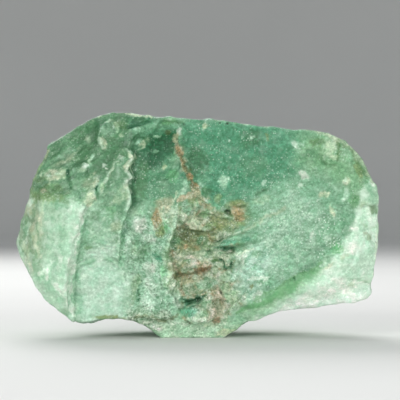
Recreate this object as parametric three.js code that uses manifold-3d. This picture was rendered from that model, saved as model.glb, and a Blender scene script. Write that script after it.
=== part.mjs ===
// A rough lump of green aventurine: one piece of quartzite, broken from a larger block.
//
// Units are millimetres, +Z is up and the broad fresh face looks along -Y. The lump stands on a small
// flat foot at z = 0, and the origin is the centre of the underside of its bounding box.
//
// While it is being shaped, y is the depth behind the foremost point of the broad face.

import * as THREE from "three";
import { ImprovedNoise } from "three/addons/math/ImprovedNoise.js";
import { mergeVertices } from "three/addons/utils/BufferGeometryUtils.js";
import Module from "manifold-3d";

const wasm = await Module();
wasm.setup();

// ---- Driving dimensions -------------------------------------------------------------------------

const THICKNESS = 86; // along Y, before the back is broken away
const MIDDLE = new THREE.Vector3(0, THICKNESS / 2, 55); // the middle of the block
const FOOT_LEVEL = 0.4; // where the lowest lobe is cut flat, to stand on
const REACH = 240; // size of the cutting slabs: it clears the stone in any direction
const CELLS = 27; // facets across such a slab
const WALL_STEPS = 9; // facets through the thickness
const JAGGED_SLAB = [80, 18]; // size of the slab for the jagged hollow, and facets across it

// ---- Outline of the broad face, (x, z), clockwise from the left tip ------------------------------

const OUTLINE = [
  [-88.5, 48], [-86.8, 54], [-84.7, 63], [-82.8, 71], [-80.5, 78.5], [-78, 84.5], [-74, 91],
  [-73, 95.2], [-67.8, 98], [-59.3, 103.2], [-51.8, 108.3], [-43, 111], [-36, 112.4], [-26.2, 111],
  [-21.8, 108.2], [-15.5, 108.2], [-4.3, 107.3], [9.5, 107.5], [20, 106.2], [28.2, 105], [35.7, 104.5],
  [43.2, 103.8], [47, 102.5], [53.2, 102.6], [63.2, 100.6], [69.5, 97.7], [75.7, 93.2], [80.7, 88.5],
  [83.2, 83.3], [85.3, 78.6], [87.8, 75.8], [88.3, 70.8], [88.9, 63.3], [88.6, 52], [88, 42], [86.8, 33],
  [84.7, 26.4], [85.4, 22], [83, 19.6], [77, 17.6], [70.7, 17.2], [53.2, 14.3], [40.7, 13.3],
  [30.7, 9.5], [23.2, 6.2], [15.7, 1.8], [10.5, -2.5], [-14.5, -2.5], [-20, 1.6], [-25.5, 5.8], [-30.5, 9],
  [-40.5, 10.4], [-46.8, 9.4], [-54.3, 7.5], [-58, 7.5], [-63, 11.4], [-68.6, 16.2], [-74.3, 20.1],
  [-79.3, 27], [-83.4, 35.5], [-86.8, 41],
];

// ---- Breaks of the broad face --------------------------------------------------------------------
// The bed of a break is a plane y = depth + slopeX (x - at x) + slopeZ (z - at z), and everything before
// it is gone. A dished bed is deepest at its place, and rises to the sides with the radii along and
// across a turn from +X towards +Z.

const FRONT_BREAKS = {
  mainFace: { at: [0, 55], depth: 4, slopeX: 0, slopeZ: 0.02 },
  leftPlate: { at: [-60, 45], depth: 3, slopeX: -0.3, slopeZ: -0.02 },
  leftRim: { at: [-78, 50], depth: 9, slopeX: -1.15, slopeZ: 0.05 },
  leftLowRim: { at: [-70, 24], depth: 8.5, slopeX: -0.6, slopeZ: -0.55 },
  upperLeft: { at: [-52, 72], depth: 4.6, slopeX: -0.12, slopeZ: 0.45 },
  topRim: { at: [0, 98], depth: 7, slopeX: -0.02, slopeZ: 0.5 },
  topRightRim: { at: [68, 88], depth: 7, slopeX: 0.42, slopeZ: 0.34 },
  rightRim: { at: [76, 52], depth: 4.5, slopeX: 0.5, slopeZ: -0.02 },
  lowRightRim: { at: [57, 31], depth: 4.5, slopeX: 0.14, slopeZ: -0.42 },
  lowerLip: { at: [0, 14], depth: 12, slopeX: 0.05, slopeZ: -0.75 },
};

// ---- Breaks of the hidden sides and back ---------------------------------------------------------
// turn is the way the break faces, in degrees from the viewer's side towards +X, tilt is how far up it
// faces, and reach is its distance from the middle of the block. dish is the radius of a dished break.

const HIDDEN_BREAKS = [
  { turn: 176, tilt: 6, reach: 41 }, // back
  { turn: 206, tilt: -5, reach: 52 },
  { turn: 150, tilt: 12, reach: 54 },
  { turn: 168, tilt: 38, reach: 58 },
  { turn: 215, tilt: 36, reach: 66 },
  { turn: 128, tilt: 26, reach: 78 },
  { turn: 112, tilt: -6, reach: 80 }, // right
  { turn: 104, tilt: 22, reach: 82 },
  { turn: 247, tilt: -10, reach: 79 }, // left
  { turn: 258, tilt: 18, reach: 80 },
  { turn: 186, tilt: 76, reach: 54 }, // top
  { turn: 150, tilt: 79, reach: 48 },
  { turn: 232, tilt: 66, reach: 61 },
  { turn: 184, tilt: -52, reach: 50 }, // underside
  { turn: 142, tilt: -40, reach: 58 },
  { turn: 224, tilt: -42, reach: 59 },
  { turn: 162, tilt: -76, reach: 57 },
  { turn: 172, tilt: 4, reach: 37, dish: 95 }, // broad dishes on the back
  { turn: 222, tilt: 12, reach: 50, dish: 60 },
];

// A ledge on a hidden side is what is beyond a bed and beyond a wall, both given as breaks.
const HIDDEN_LEDGES = [
  [{ turn: 180, tilt: 2, reach: 34 }, { turn: 250, tilt: -38, reach: 26 }],
  [{ turn: 160, tilt: 10, reach: 38 }, { turn: 96, tilt: 34, reach: 34 }],
  [{ turn: 182, tilt: 74, reach: 47 }, { turn: 208, tilt: 20, reach: 8 }],
  [{ turn: 108, tilt: 0, reach: 75 }, { turn: 170, tilt: 46, reach: 14 }],
  [{ turn: 250, tilt: -4, reach: 74 }, { turn: 190, tilt: 40, reach: 12 }],
];

// ---- Flakes --------------------------------------------------------------------------------------
// A flake is a chip lost from the broad face. Its edge is a ledge around a bed, and lean is how far the
// ledge's wall slopes in x and z for each millimetre towards the viewer.

const FLAKES = {
  // The left plate ends above in a rounded lip.
  lip: {
    edge: [[-92, 69], [-80, 72], [-71, 71.5], [-63, 69], [-57, 73], [-57, 80], [-66, 90], [-92, 92]],
    bed: { at: [-52, 72], depth: 6.2, slopeX: -0.14, slopeZ: 0.42 },
    lean: [0, -0.6],
  },
  // Everything right of the left plate has dropped by one bed.
  firstStep: {
    edge: [[-62, 4], [-61, 22], [-60.5, 35], [-59, 45], [-57, 53], [-54, 60], [-52, 65.5], [-47.5, 68.5],
      [-48.5, 73], [-44, 76], [-42, 82], [-38, 88], [-36, 94], [-40, 101], [-30, 116], [10, 116], [10, 60],
      [16, -4], [-58, -4]],
    bed: { at: [-50, 40], depth: 8.6, slopeX: 0.1, slopeZ: -0.035 },
    lean: [-0.25, 0.05],
  },
  // The foot of that strip is a shallow rippled dish.
  ripples: {
    edge: [[-61.5, 4], [-60.5, 22], [-60, 34], [-57, 45], [-50, 52], [-42, 49], [-36, 40], [-31, 28], [-27, 4]],
    bed: { at: [-44, 24], depth: 13.5, slopeX: 0, slopeZ: -0.05, dish: 80 },
    lean: [-0.25, 0.2],
  },
  // The second bed ends in a jagged ledge.
  secondStep: {
    edge: [[-39, 30], [-38, 38], [-37.5, 46], [-36, 55], [-34, 61], [-32, 67], [-32.5, 72], [-34, 76],
      [-31, 79.5], [-32.5, 84], [-29.5, 88.5], [-33, 93], [-31, 99], [-24, 103], [-12, 116], [2, 116],
      [6, 90], [12, 60], [14, -4], [-22, -4], [-34, 8]],
    bed: { at: [-30, 60], depth: 14.5, slopeX: 0, slopeZ: 0.03 },
    lean: [-0.1, 0.1],
  },
  // The big smooth shell-shaped break, which ends lower right in a crest.
  shell: {
    edge: [[14, 7], [20, 12.5], [28, 16], [35, 20], [43, 24], [50, 28.5], [57, 33], [62, 37], [66, 42],
      [70, 47.5], [73, 53], [77, 60], [78.5, 66], [80, 73], [83, 80], [79, 87], [71, 92], [64, 100], [56, 116],
      [-6, 116], [-9, 98], [-7, 88], [-3, 79], [1, 71], [6, 65], [8, 60], [6, 40], [8, 20]],
    bed: { at: [16, 70], depth: 18.5, slopeX: 0, slopeZ: 0, dish: 190 },
    lean: [0.55, -0.55],
  },
  // A small facet on the right rim.
  rimFacet: {
    edge: [[73, 51], [77, 58], [80, 66], [96, 64], [96, 49], [82, 46]],
    bed: { at: [80, 57], depth: 8.5, slopeX: 0.8, slopeZ: 0.15 },
    lean: [-0.3, 0],
  },
  // The broken, stained hollow in the middle.
  hollow: {
    edge: [[-13, 19], [-10, 27], [-11.5, 32], [-15, 42], [-12, 50], [-10.5, 57], [-9, 64], [-3, 70], [2, 68],
      [8, 63], [16, 66], [25, 66], [29, 60], [26, 52], [31, 44], [24, 36], [25, 26], [16, 16], [9, 8], [0, 5],
      [-8, 9]],
    bed: { at: [6, 40], depth: 19, slopeX: -0.06, slopeZ: 0.03, jagged: true },
    lean: [0.3, 0],
  },
};

// ---- Hollows and lumps ---------------------------------------------------------------------------
// Uneven ellipsoids: centre, half axes, and turn from +X towards +Z in degrees.

const LUMPS = [
  { centre: [19, 17.5, 49], half: [12, 4.5, 3.2], turn: 14 }, // fin in the hollow
  { centre: [-5, 19.8, 64], half: [7, 6, 5], turn: 20 },
  { centre: [-1, 19.5, 57.5], half: [6, 4.5, 3.4], turn: -10 },
  { centre: [-4, 20, 37], half: [8, 5, 5], turn: 10 },
  { centre: [6, 20.5, 27], half: [8, 5.5, 5], turn: 25 },
  { centre: [-2, 18.5, 22.5], half: [5.5, 4, 2.6], turn: 12 },
  { centre: [1, 19, 12], half: [11, 7, 6], turn: 8 },
  { centre: [-22, 16.5, 30], half: [8, 4.5, 15], turn: -6 },
  { centre: [-26, 16.5, 54], half: [8, 4, 11], turn: 24 },
  { centre: [29, 18, 33], half: [10, 4.5, 6], turn: -20 },
  { centre: [-44.5, 21, 99], half: [7, 7, 9.5], turn: -24 },
  { centre: [-27.5, 20, 95.5], half: [3.4, 4.4, 5], turn: -32 },
  { centre: [-54.5, 15, 79], half: [9, 8, 10], turn: -32 },
  { centre: [65, 17, 91], half: [10, 8, 8], turn: 10 },
];

const HOLLOWS = [
  { centre: [-18, 9, 91], half: [13, 12, 17], turn: -30 }, // dark hollow under the top edge
  { centre: [-1, 15, 29], half: [12, 7, 8], turn: 20 },
  { centre: [4, 13, 58], half: [13, 8, 7], turn: -15 },
  { centre: [14, 19.4, 43.8], half: [8, 3, 1.7], turn: 3 }, // crevice under the fin
  { centre: [-3, 18.2, 18.2], half: [6.5, 3, 1.9], turn: 14 },
  // Dents in the underside
  { centre: [-62, 34, 9], half: [9, 12, 6], turn: -30 },
  { centre: [58, 38, 12], half: [16, 13, 5.5], turn: 8 },
  { centre: [26, 26, 6], half: [9, 9, 4], turn: 30 },
  { centre: [-36, 40, 6], half: [13, 11, 5], turn: -8 },
];

// ---- Unevenness ----------------------------------------------------------------------------------
// Each break is a little uneven by itself, and the finished surface wanders a little as a whole.

const FRONT_WAVES = [{ length: 34, height: 2.4 }, { length: 13, height: 1.2 }];
const JAGGED_WAVES = [{ length: 19, height: 5.5 }, { length: 8, height: 5 }];
const PEBBLE_WAVES = [{ length: 0.9, height: 0.45 }];
const HIDDEN_WAVES = [{ length: 36, height: 6 }, { length: 14, height: 3 }];
const SURFACE_WAVES = [{ length: 40, height: 2.6 }, { length: 15, height: 1.4 }];

const noise = new ImprovedNoise();

function wander(waves, u, v, w) {
  let sum = 0;
  for (const { length, height } of waves) sum += height * noise.noise(u / length, v / length, w / length);
  return sum;
}

// ---- Solids from geometries ----------------------------------------------------------------------

function solidOf(geometry) {
  const bare = geometry.clone();
  bare.deleteAttribute("normal");
  bare.deleteAttribute("uv");
  const merged = mergeVertices(bare, 1e-4);
  const vertProperties = merged.attributes.position.array;
  const triVerts = new Uint32Array(merged.index.array);
  return new wasm.Manifold(new wasm.Mesh({ numProp: 3, vertProperties, triVerts }));
}

function geometryOf(solid) {
  const mesh = solid.getMesh();
  const geometry = new THREE.BufferGeometry();
  geometry.setAttribute("position", new THREE.BufferAttribute(mesh.vertProperties, 3));
  geometry.setIndex(new THREE.BufferAttribute(mesh.triVerts, 1));
  return geometry;
}

// Moves every vertex of a geometry to the place move(x, y, z) gives.
function bend(geometry, move) {
  const position = geometry.attributes.position;
  for (let i = 0; i < position.count; i++) {
    position.setXYZ(i, ...move(position.getX(i), position.getY(i), position.getZ(i)));
  }
  return geometry;
}

// An outline in x and z, extruded along Y from one depth to another.
function prism(outline, from, to, steps) {
  const shape = new THREE.Shape(outline.map(([x, z]) => new THREE.Vector2(x, z)));
  const geometry = new THREE.ExtrudeGeometry(shape, { depth: to - from, steps, bevelEnabled: false });
  return geometry.rotateX(Math.PI / 2).translate(0, to, 0);
}

// An uneven ellipsoid, given as in the lists of lumps and hollows.
function pebble({ centre, half, turn }, rounds) {
  const geometry = new THREE.SphereGeometry(1, rounds, rounds / 2);
  const [u, v, w] = centre;
  bend(geometry, (x, y, z) => {
    const swell = 1 + wander(PEBBLE_WAVES, x + u, y + v, z + w);
    return [x * swell, y * swell, z * swell];
  });
  geometry.scale(...half).rotateY(THREE.MathUtils.degToRad(-turn)).translate(...centre);
  return solidOf(geometry);
}

// ---- Cutters -------------------------------------------------------------------------------------

// A thick slab before y = 0, whose inner side is uneven. Each seed gives a different unevenness.
function slab(waves, seed, size = REACH, cells = CELLS) {
  const geometry = new THREE.BoxGeometry(size, REACH, size, cells, 1, cells);
  geometry.translate(0, -REACH / 2, 0);
  return bend(geometry, (x, y, z) => [x, y + wander(waves, x, seed, z), z]);
}

// Everything before a bed of the broad face. A jagged bed is only as large as the hollow it belongs to.
function beforeBed({ at, depth, slopeX, slopeZ, dish = Infinity, jagged }) {
  const seed = 10 * (at[0] + depth);
  const geometry = jagged ? slab(JAGGED_WAVES, seed, ...JAGGED_SLAB) : slab(FRONT_WAVES, seed);
  geometry.translate(...(jagged ? [at[0], 0, at[1]] : [0, 0, MIDDLE.z]));
  bend(geometry, (x, y, z) => {
    const [u, v] = [x - at[0], z - at[1]];
    return [x, y + depth + slopeX * u + slopeZ * v - (u ** 2 + v ** 2) / (2 * dish), z];
  });
  return solidOf(geometry);
}

// Everything beyond a break of the hidden sides.
function beyondBreak({ turn, tilt, reach, dish = Infinity }) {
  const geometry = slab(HIDDEN_WAVES, 10 * (turn + reach));
  bend(geometry, (x, y, z) => [x, y - reach - (x ** 2 + z ** 2) / (2 * dish), z]);
  geometry.rotateX(THREE.MathUtils.degToRad(-tilt)).rotateZ(THREE.MathUtils.degToRad(turn));
  return solidOf(geometry.translate(...MIDDLE));
}

// The space inside a ledge, whose walls lean outwards from where they meet the bed.
function insideLedge(edge, lean, bedDepth) {
  const leaning = (x, y, z) => [x + lean[0] * (bedDepth - y), y, z + lean[1] * (bedDepth - y)];
  return solidOf(bend(prism(edge, -THICKNESS / 4, THICKNESS / 2, 4), leaning));
}

// ---- Shaping -------------------------------------------------------------------------------------

function block() {
  let stone = solidOf(prism(OUTLINE, 0, THICKNESS, WALL_STEPS));
  for (const bed of Object.values(FRONT_BREAKS)) stone = stone.subtract(beforeBed(bed));
  for (const hidden of HIDDEN_BREAKS) stone = stone.subtract(beyondBreak(hidden));
  for (const [bed, wall] of HIDDEN_LEDGES) {
    stone = stone.subtract(beyondBreak(bed).intersect(beyondBreak(wall)));
  }
  return stone;
}

function chip(stone) {
  let chipped = stone;
  for (const { edge, bed, lean } of Object.values(FLAKES)) {
    chipped = chipped.subtract(insideLedge(edge, lean, bed.depth).intersect(beforeBed(bed)));
  }
  for (const lump of LUMPS) chipped = chipped.add(pebble(lump, 10));
  for (const hollow of HOLLOWS) chipped = chipped.subtract(pebble(hollow, 14));
  return chipped;
}

function roughen(solid) {
  const shifted = (x, y, z) => [
    x + 0.5 * wander(SURFACE_WAVES, x + 90, y, z),
    y + 0.8 * wander(SURFACE_WAVES, x, y + 190, z),
    z + 0.5 * wander(SURFACE_WAVES, x, y, z + 290),
  ];
  return solidOf(bend(geometryOf(solid), shifted));
}

// Cuts the foot flat, and moves the origin to the middle of the underside.
function stand(solid) {
  const under = new THREE.BoxGeometry(REACH, REACH, REACH).translate(0, 0, FOOT_LEVEL - REACH / 2);
  const geometry = geometryOf(solid.subtract(solidOf(under)));
  geometry.computeBoundingBox();
  const middle = geometry.boundingBox.getCenter(new THREE.Vector3());
  return geometry.translate(-middle.x, -middle.y, -geometry.boundingBox.min.z);
}

// ---- The part ------------------------------------------------------------------------------------

const aventurine = new THREE.MeshStandardMaterial({ color: 0x8ec4a0, roughness: 0.55, metalness: 0 });
const stone = new THREE.Mesh(stand(roughen(chip(block()))), aventurine);
stone.name = "aventurine_stone";

const part = new THREE.Group();
part.add(stone);

export default part;
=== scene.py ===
"""The looks of a rough lump of green aventurine: its broken surface, its colours, and a plain studio."""

import math

import bmesh
import bpy
import numpy as np
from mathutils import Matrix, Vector
from mathutils.bvhtree import BVHTree


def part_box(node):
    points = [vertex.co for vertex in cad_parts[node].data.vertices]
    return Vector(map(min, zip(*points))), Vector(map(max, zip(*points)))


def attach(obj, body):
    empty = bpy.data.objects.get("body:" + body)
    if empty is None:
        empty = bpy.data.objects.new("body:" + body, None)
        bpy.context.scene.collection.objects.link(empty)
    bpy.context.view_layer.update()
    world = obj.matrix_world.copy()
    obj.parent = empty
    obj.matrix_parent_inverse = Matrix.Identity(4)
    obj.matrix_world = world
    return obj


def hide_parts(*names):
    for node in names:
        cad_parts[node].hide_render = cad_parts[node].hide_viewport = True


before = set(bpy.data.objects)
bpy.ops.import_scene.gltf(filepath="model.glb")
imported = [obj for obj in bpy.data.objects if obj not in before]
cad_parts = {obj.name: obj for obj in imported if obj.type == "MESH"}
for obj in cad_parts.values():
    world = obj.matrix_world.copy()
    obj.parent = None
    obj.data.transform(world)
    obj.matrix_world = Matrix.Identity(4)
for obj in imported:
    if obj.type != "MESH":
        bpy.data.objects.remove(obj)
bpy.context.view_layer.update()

# ---- Driving sizes -------------------------------------------------------------------------------
# Places and sizes on the stone are in millimetres. Its broad face looks along -Y, and a place on it is
# (x, z): x from the middle, z up from the foot.

MM = 0.001
NODE = "aventurine_stone"
FACET = 1.27  # size of the visual mesh's facets, which the broad face has at half that size
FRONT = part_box(NODE)[0][1] / MM  # y of the frontmost point
FACE_DEPTH = 34  # the broad face's ledges and hollows reach this far behind it
FOOT_HEIGHT = 1.5  # up to here the stone stays as it stands
CAMERA_DISTANCE = 0.9  # metres from the stone's outline to the camera
PICTURE_WIDTH = 0.196  # metres across the picture at that distance
SENSOR_WIDTH = 36  # of the camera, in millimetres
OUTLINE_DEPTH = 16  # the outline lies this far behind the frontmost point
AIM = (1.2, 67.7)  # the place in the middle of the picture

# The studio, in metres and watts.
FLOOR_RADIUS = 2.4  # of the floor's flat part
FLOOR_CURVE = 0.6  # radius of the curve round it
FLOOR_RIM = 2.4  # height of the wall that the curve ends in
FLOOR_COLOUR = (0.78, 0.78, 0.76)
LIT_PLACE = (0, 0, 0.055)  # what the lights face
LIGHTS = [  # name, place, width, power
    ("key", (-0.5, -1.2, 0.5), 0.7, 9.4),
    ("fill", (0.75, -1.0, 0.2), 0.9, 7.6),
    ("top", (0.1, 0.3, 1.1), 0.8, 3),
    ("back", (-0.3, 0.9, 0.9), 0.7, 9),
]
AIR_COLOUR = (0.9, 0.95, 1.0, 1)
AIR_STRENGTH = 0.35


# ---- Small helpers -------------------------------------------------------------------------------


def smooth(low, high, value):
    """0 up to low, 1 from high on, and a smooth rise between."""
    t = np.clip((value - low) / (high - low), 0, 1)
    return t * t * (3 - 2 * t)


def linear(red, green, blue):
    """A colour given as it looks on screen (0 to 255), as linear light."""
    c = np.array([red, green, blue]) / 255
    return np.where(c <= 0.04045, c / 12.92, ((c + 0.055) / 1.055) ** 2.4)


def lattice(ix, iy, iz, seed):
    """A scrambled whole number for every lattice point."""
    n = (ix * 374761393 + iy * 668265263 + iz * 1440662683 + seed * 1274126177) & 0xFFFFFFFF
    n = ((n ^ (n >> 13)) * 1274126177) & 0xFFFFFFFF
    return n ^ (n >> 16)


def thirds(n):
    """Three whole numbers, 0 to 1023, from every scrambled one."""
    return np.stack([n >> shift & 1023 for shift in (0, 10, 20)], 1)


def noise(points, seed):
    """Gradient noise, about -1 to 1, at points in lattice units."""
    cell = np.floor(points).astype(np.int64)
    f = points - cell
    fade = f ** 3 * (f * (f * 6 - 15) + 10)
    total = np.zeros(len(points))
    for corner in np.ndindex(2, 2, 2):
        gradient = thirds(lattice(*(cell + corner).T, seed)) - 511.5
        gradient /= np.linalg.norm(gradient, axis=1, keepdims=True)
        weight = np.prod(np.where(corner, fade, 1 - fade), axis=1)
        total += weight * ((f - corner) * gradient).sum(1)
    return total * 1.6


def fractal(points, size, octaves, seed):
    """Noise of several sizes, the largest given in millimetres."""
    total = np.zeros(len(points))
    for k in range(octaves):
        total += 0.5 ** k * noise(points * 2 ** k / size + 17.3 * k, seed + k)
    return total


def wander(points, size, octaves, seed):
    """Three noises at once, to push points about."""
    return np.stack([fractal(points, size, octaves, seed + 31 * axis) for axis in range(3)], 1)


def pebbles(points, size, seed):
    """Distance to the nearest of a set of scattered points, about 0 to 1, for lumpy ground."""
    p = points / size
    cell = np.floor(p).astype(np.int64)
    nearest = np.full(len(p), 9.0)
    for step in np.ndindex(3, 3, 3):
        c = cell + np.array(step) - 1
        place = c + thirds(lattice(*c.T, seed)) / 1023
        nearest = np.minimum(nearest, ((p - place) ** 2).sum(1))
    return np.sqrt(nearest)


def line_distance(line, x, z):
    """Distance from every (x, z) to a line of points, and the side that it is on (1 is left of the run)."""
    best = np.full(len(x), 1e9)
    side = np.ones(len(x))
    for (x0, z0), (x1, z1) in zip(line, line[1:]):
        dx, dz = x1 - x0, z1 - z0
        t = np.clip(((x - x0) * dx + (z - z0) * dz) / (dx * dx + dz * dz), 0, 1)
        d = np.hypot(x - x0 - t * dx, z - z0 - t * dz)
        closer = d < best
        best = np.where(closer, d, best)
        side = np.where(closer, np.sign(dx * (z - z0) - dz * (x - x0)), side)
    return best, side


def step(line, reach, x, z):
    """1 on the left of a line's run and 0 on its right. It fades over the reach and towards the ends."""
    distance, side = line_distance(line, x, z)
    (x0, z0), (x1, z1) = line[0], line[-1]
    to_end = np.minimum(np.hypot(x - x0, z - z0), np.hypot(x - x1, z - z1))
    near = 1 - smooth(0, reach, distance)
    return smooth(-0.5, 0.5, side * distance) * near * smooth(0, 3, to_end - distance)


def area(outline, x, z, soft):
    """1 inside a closed outline, 0 outside, with a soft border of that width."""
    within = np.zeros(len(x), bool)
    for (x0, z0), (x1, z1) in zip(outline, outline[1:] + outline[:1]):
        if z0 != z1:
            within ^= ((z0 > z) != (z1 > z)) & (x < (x1 - x0) * (z - z0) / (z1 - z0) + x0)
    distance, _ = line_distance(outline + outline[:1], x, z)
    return smooth(-soft, soft, np.where(within, distance, -distance))


def spot(oval, x, z):
    """1 in the middle of an oval (x and z of its middle, two half sizes and its turn), 0 outside it."""
    x0, z0, half_length, half_width, turn = oval
    u, v = x - x0, z - z0
    a = math.radians(turn)
    s = (u * math.cos(a) + v * math.sin(a)) / half_length
    t = (v * math.cos(a) - u * math.sin(a)) / half_width
    return 1 - smooth(0.3, 1.25, np.hypot(s, t))


def streak(line, width, x, z):
    """1 along a line, 0 at that width from it."""
    return 1 - smooth(0.3 * width, width, line_distance(line, x, z)[0])


# ---- Places on the broad face --------------------------------------------------------------------

LEFT_LEDGE = [(-60, 3), (-60.8, 20), (-60, 33), (-58.8, 41), (-57.6, 49), (-55.4, 57), (-54, 62),
              (-51.3, 66), (-48, 68.8), (-48.9, 71.6), (-47.3, 76.5)]
MIDDLE_LEDGE = [(-45.4, 71.6), (-44.2, 74), (-43.2, 77.5), (-42.2, 81), (-39.8, 84.2), (-36.2, 88.4)]
JAGGED_LEDGE = [(-35.5, 29), (-37.9, 39), (-37.5, 44), (-37, 50.5), (-36.3, 56), (-34.2, 61), (-32.2, 66.7),
                (-32.2, 71.6), (-33.8, 75.7), (-31, 79), (-33, 82.2), (-32.6, 85.5), (-30, 89), (-32.6, 92)]
INNER_LEDGE = [(-13.5, 22.5), (-10.9, 24.7), (-10, 29), (-11.3, 32.6), (-14.8, 35.2), (-15.3, 41.3),
               (-14.4, 44.4), (-11.8, 52.3), (-9.6, 57.5), (-8.9, 64.3), (-8.9, 69)]
STAINED_CRACK = [(-9.6, 93), (-8, 87), (-6, 83), (-3.8, 79.4), (-0.6, 73.6), (3.4, 67)]
RIPPLE_CENTRE = (-47.7, 23.8)  # the foot of the left strip is rippled in arcs around this place
FEATHER = (34, 52, 30, 20, 32)  # the oval of fine feathery lines on the shell-shaped break

# The broad face's main areas.
LEFT_PLATE = [(-94, 30), (-92, 62), (-80, 72), (-63, 69), (-54, 65), (-57.4, 49), (-60.4, 33), (-61, 18),
              (-61, 0), (-78, 12)]
UPPER_LEFT = [(-94, 70.5), (-80, 73), (-63, 70), (-57, 74), (-48, 69), (-44, 76), (-38, 88), (-33, 96),
              (-30, 114), (-94, 114)]
STRIP = [(-56, 64), (-51, 66), (-47, 69), (-44, 76), (-39, 88), (-33, 92), (-32, 85), (-33.8, 76), (-32, 68),
         (-36, 56), (-38, 44), (-40, 40), (-50, 44), (-60, 44)]
RIPPLES = [(-62, 0), (-60.5, 34), (-55, 42), (-47, 49), (-40, 46), (-37, 38), (-31, 26), (-27, 8), (-40, 0)]
CRUMBLY = [(-36, 58), (-22, 62), (-12, 66), (-9, 58), (-15, 44), (-14, 33), (-10, 24), (-12, 6), (-30, 6),
           (-33, 28), (-38, 42)]
UNDER_RIM = [(-32, 92), (-33, 76), (-32, 66), (-22, 62), (-8, 66), (0, 74), (-5, 84), (-9, 98), (-16, 114),
             (-34, 114), (-32, 100)]
DARK_POCKET = [(-31, 88), (-30, 101), (-10, 104), (-6, 96), (-12, 86)]
CRACK_SIDES = [(-11.4, 96), (-7.4, 95), (-4.4, 85), (0.8, 75), (4, 68), (-1, 68), (-5.6, 79), (-9.6, 88)]
HOLLOW = [(-9, 66), (3, 64), (14, 62), (22, 66), (26, 58), (16, 52), (24, 44), (20, 30), (24, 20), (14, 6),
          (-6, 8), (-10, 22), (-11, 30), (-15, 40), (-10, 56)]
SHELL = [(-10, 114), (-9, 98), (-5, 84), (3, 69), (10, 62), (22, 64), (18, 50), (20, 44), (16, 34), (26, 18),
         (43, 26), (58, 34), (70, 46), (77, 60), (82, 76), (84, 90), (62, 114)]
SHELL_FOOT = [(20, 22), (24, 42), (36, 56), (52, 66), (66, 64), (74, 56), (68, 45), (56, 34), (42, 26),
              (28, 18)]
LOWER_RIGHT = [(26, 13), (43, 21), (57, 30.5), (67, 41), (73, 51), (77, 61), (79, 72), (86, 80), (96, 76),
               (96, 20), (60, 0), (24, 0)]
CREST_BAND = [(14, 10), (21, 15), (30.6, 19), (40.4, 26), (50, 30.6), (60, 34.6), (52, 29), (46, 23.5),
              (40, 19.5), (34, 17), (28, 14.6), (21, 11.6), (14, 6)]
LOBE = [(-12, 9), (2, 12), (14, 8), (20, 4), (14, -2), (-22, -2)]
LOWER_LEFT_CRUMBS = [(-34, 15), (-14, 13), (-10, 8), (-18, 3), (-34, 6)]

# ---- Small shapes on it, in addition to those of the solid ---------------------------------------

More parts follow.
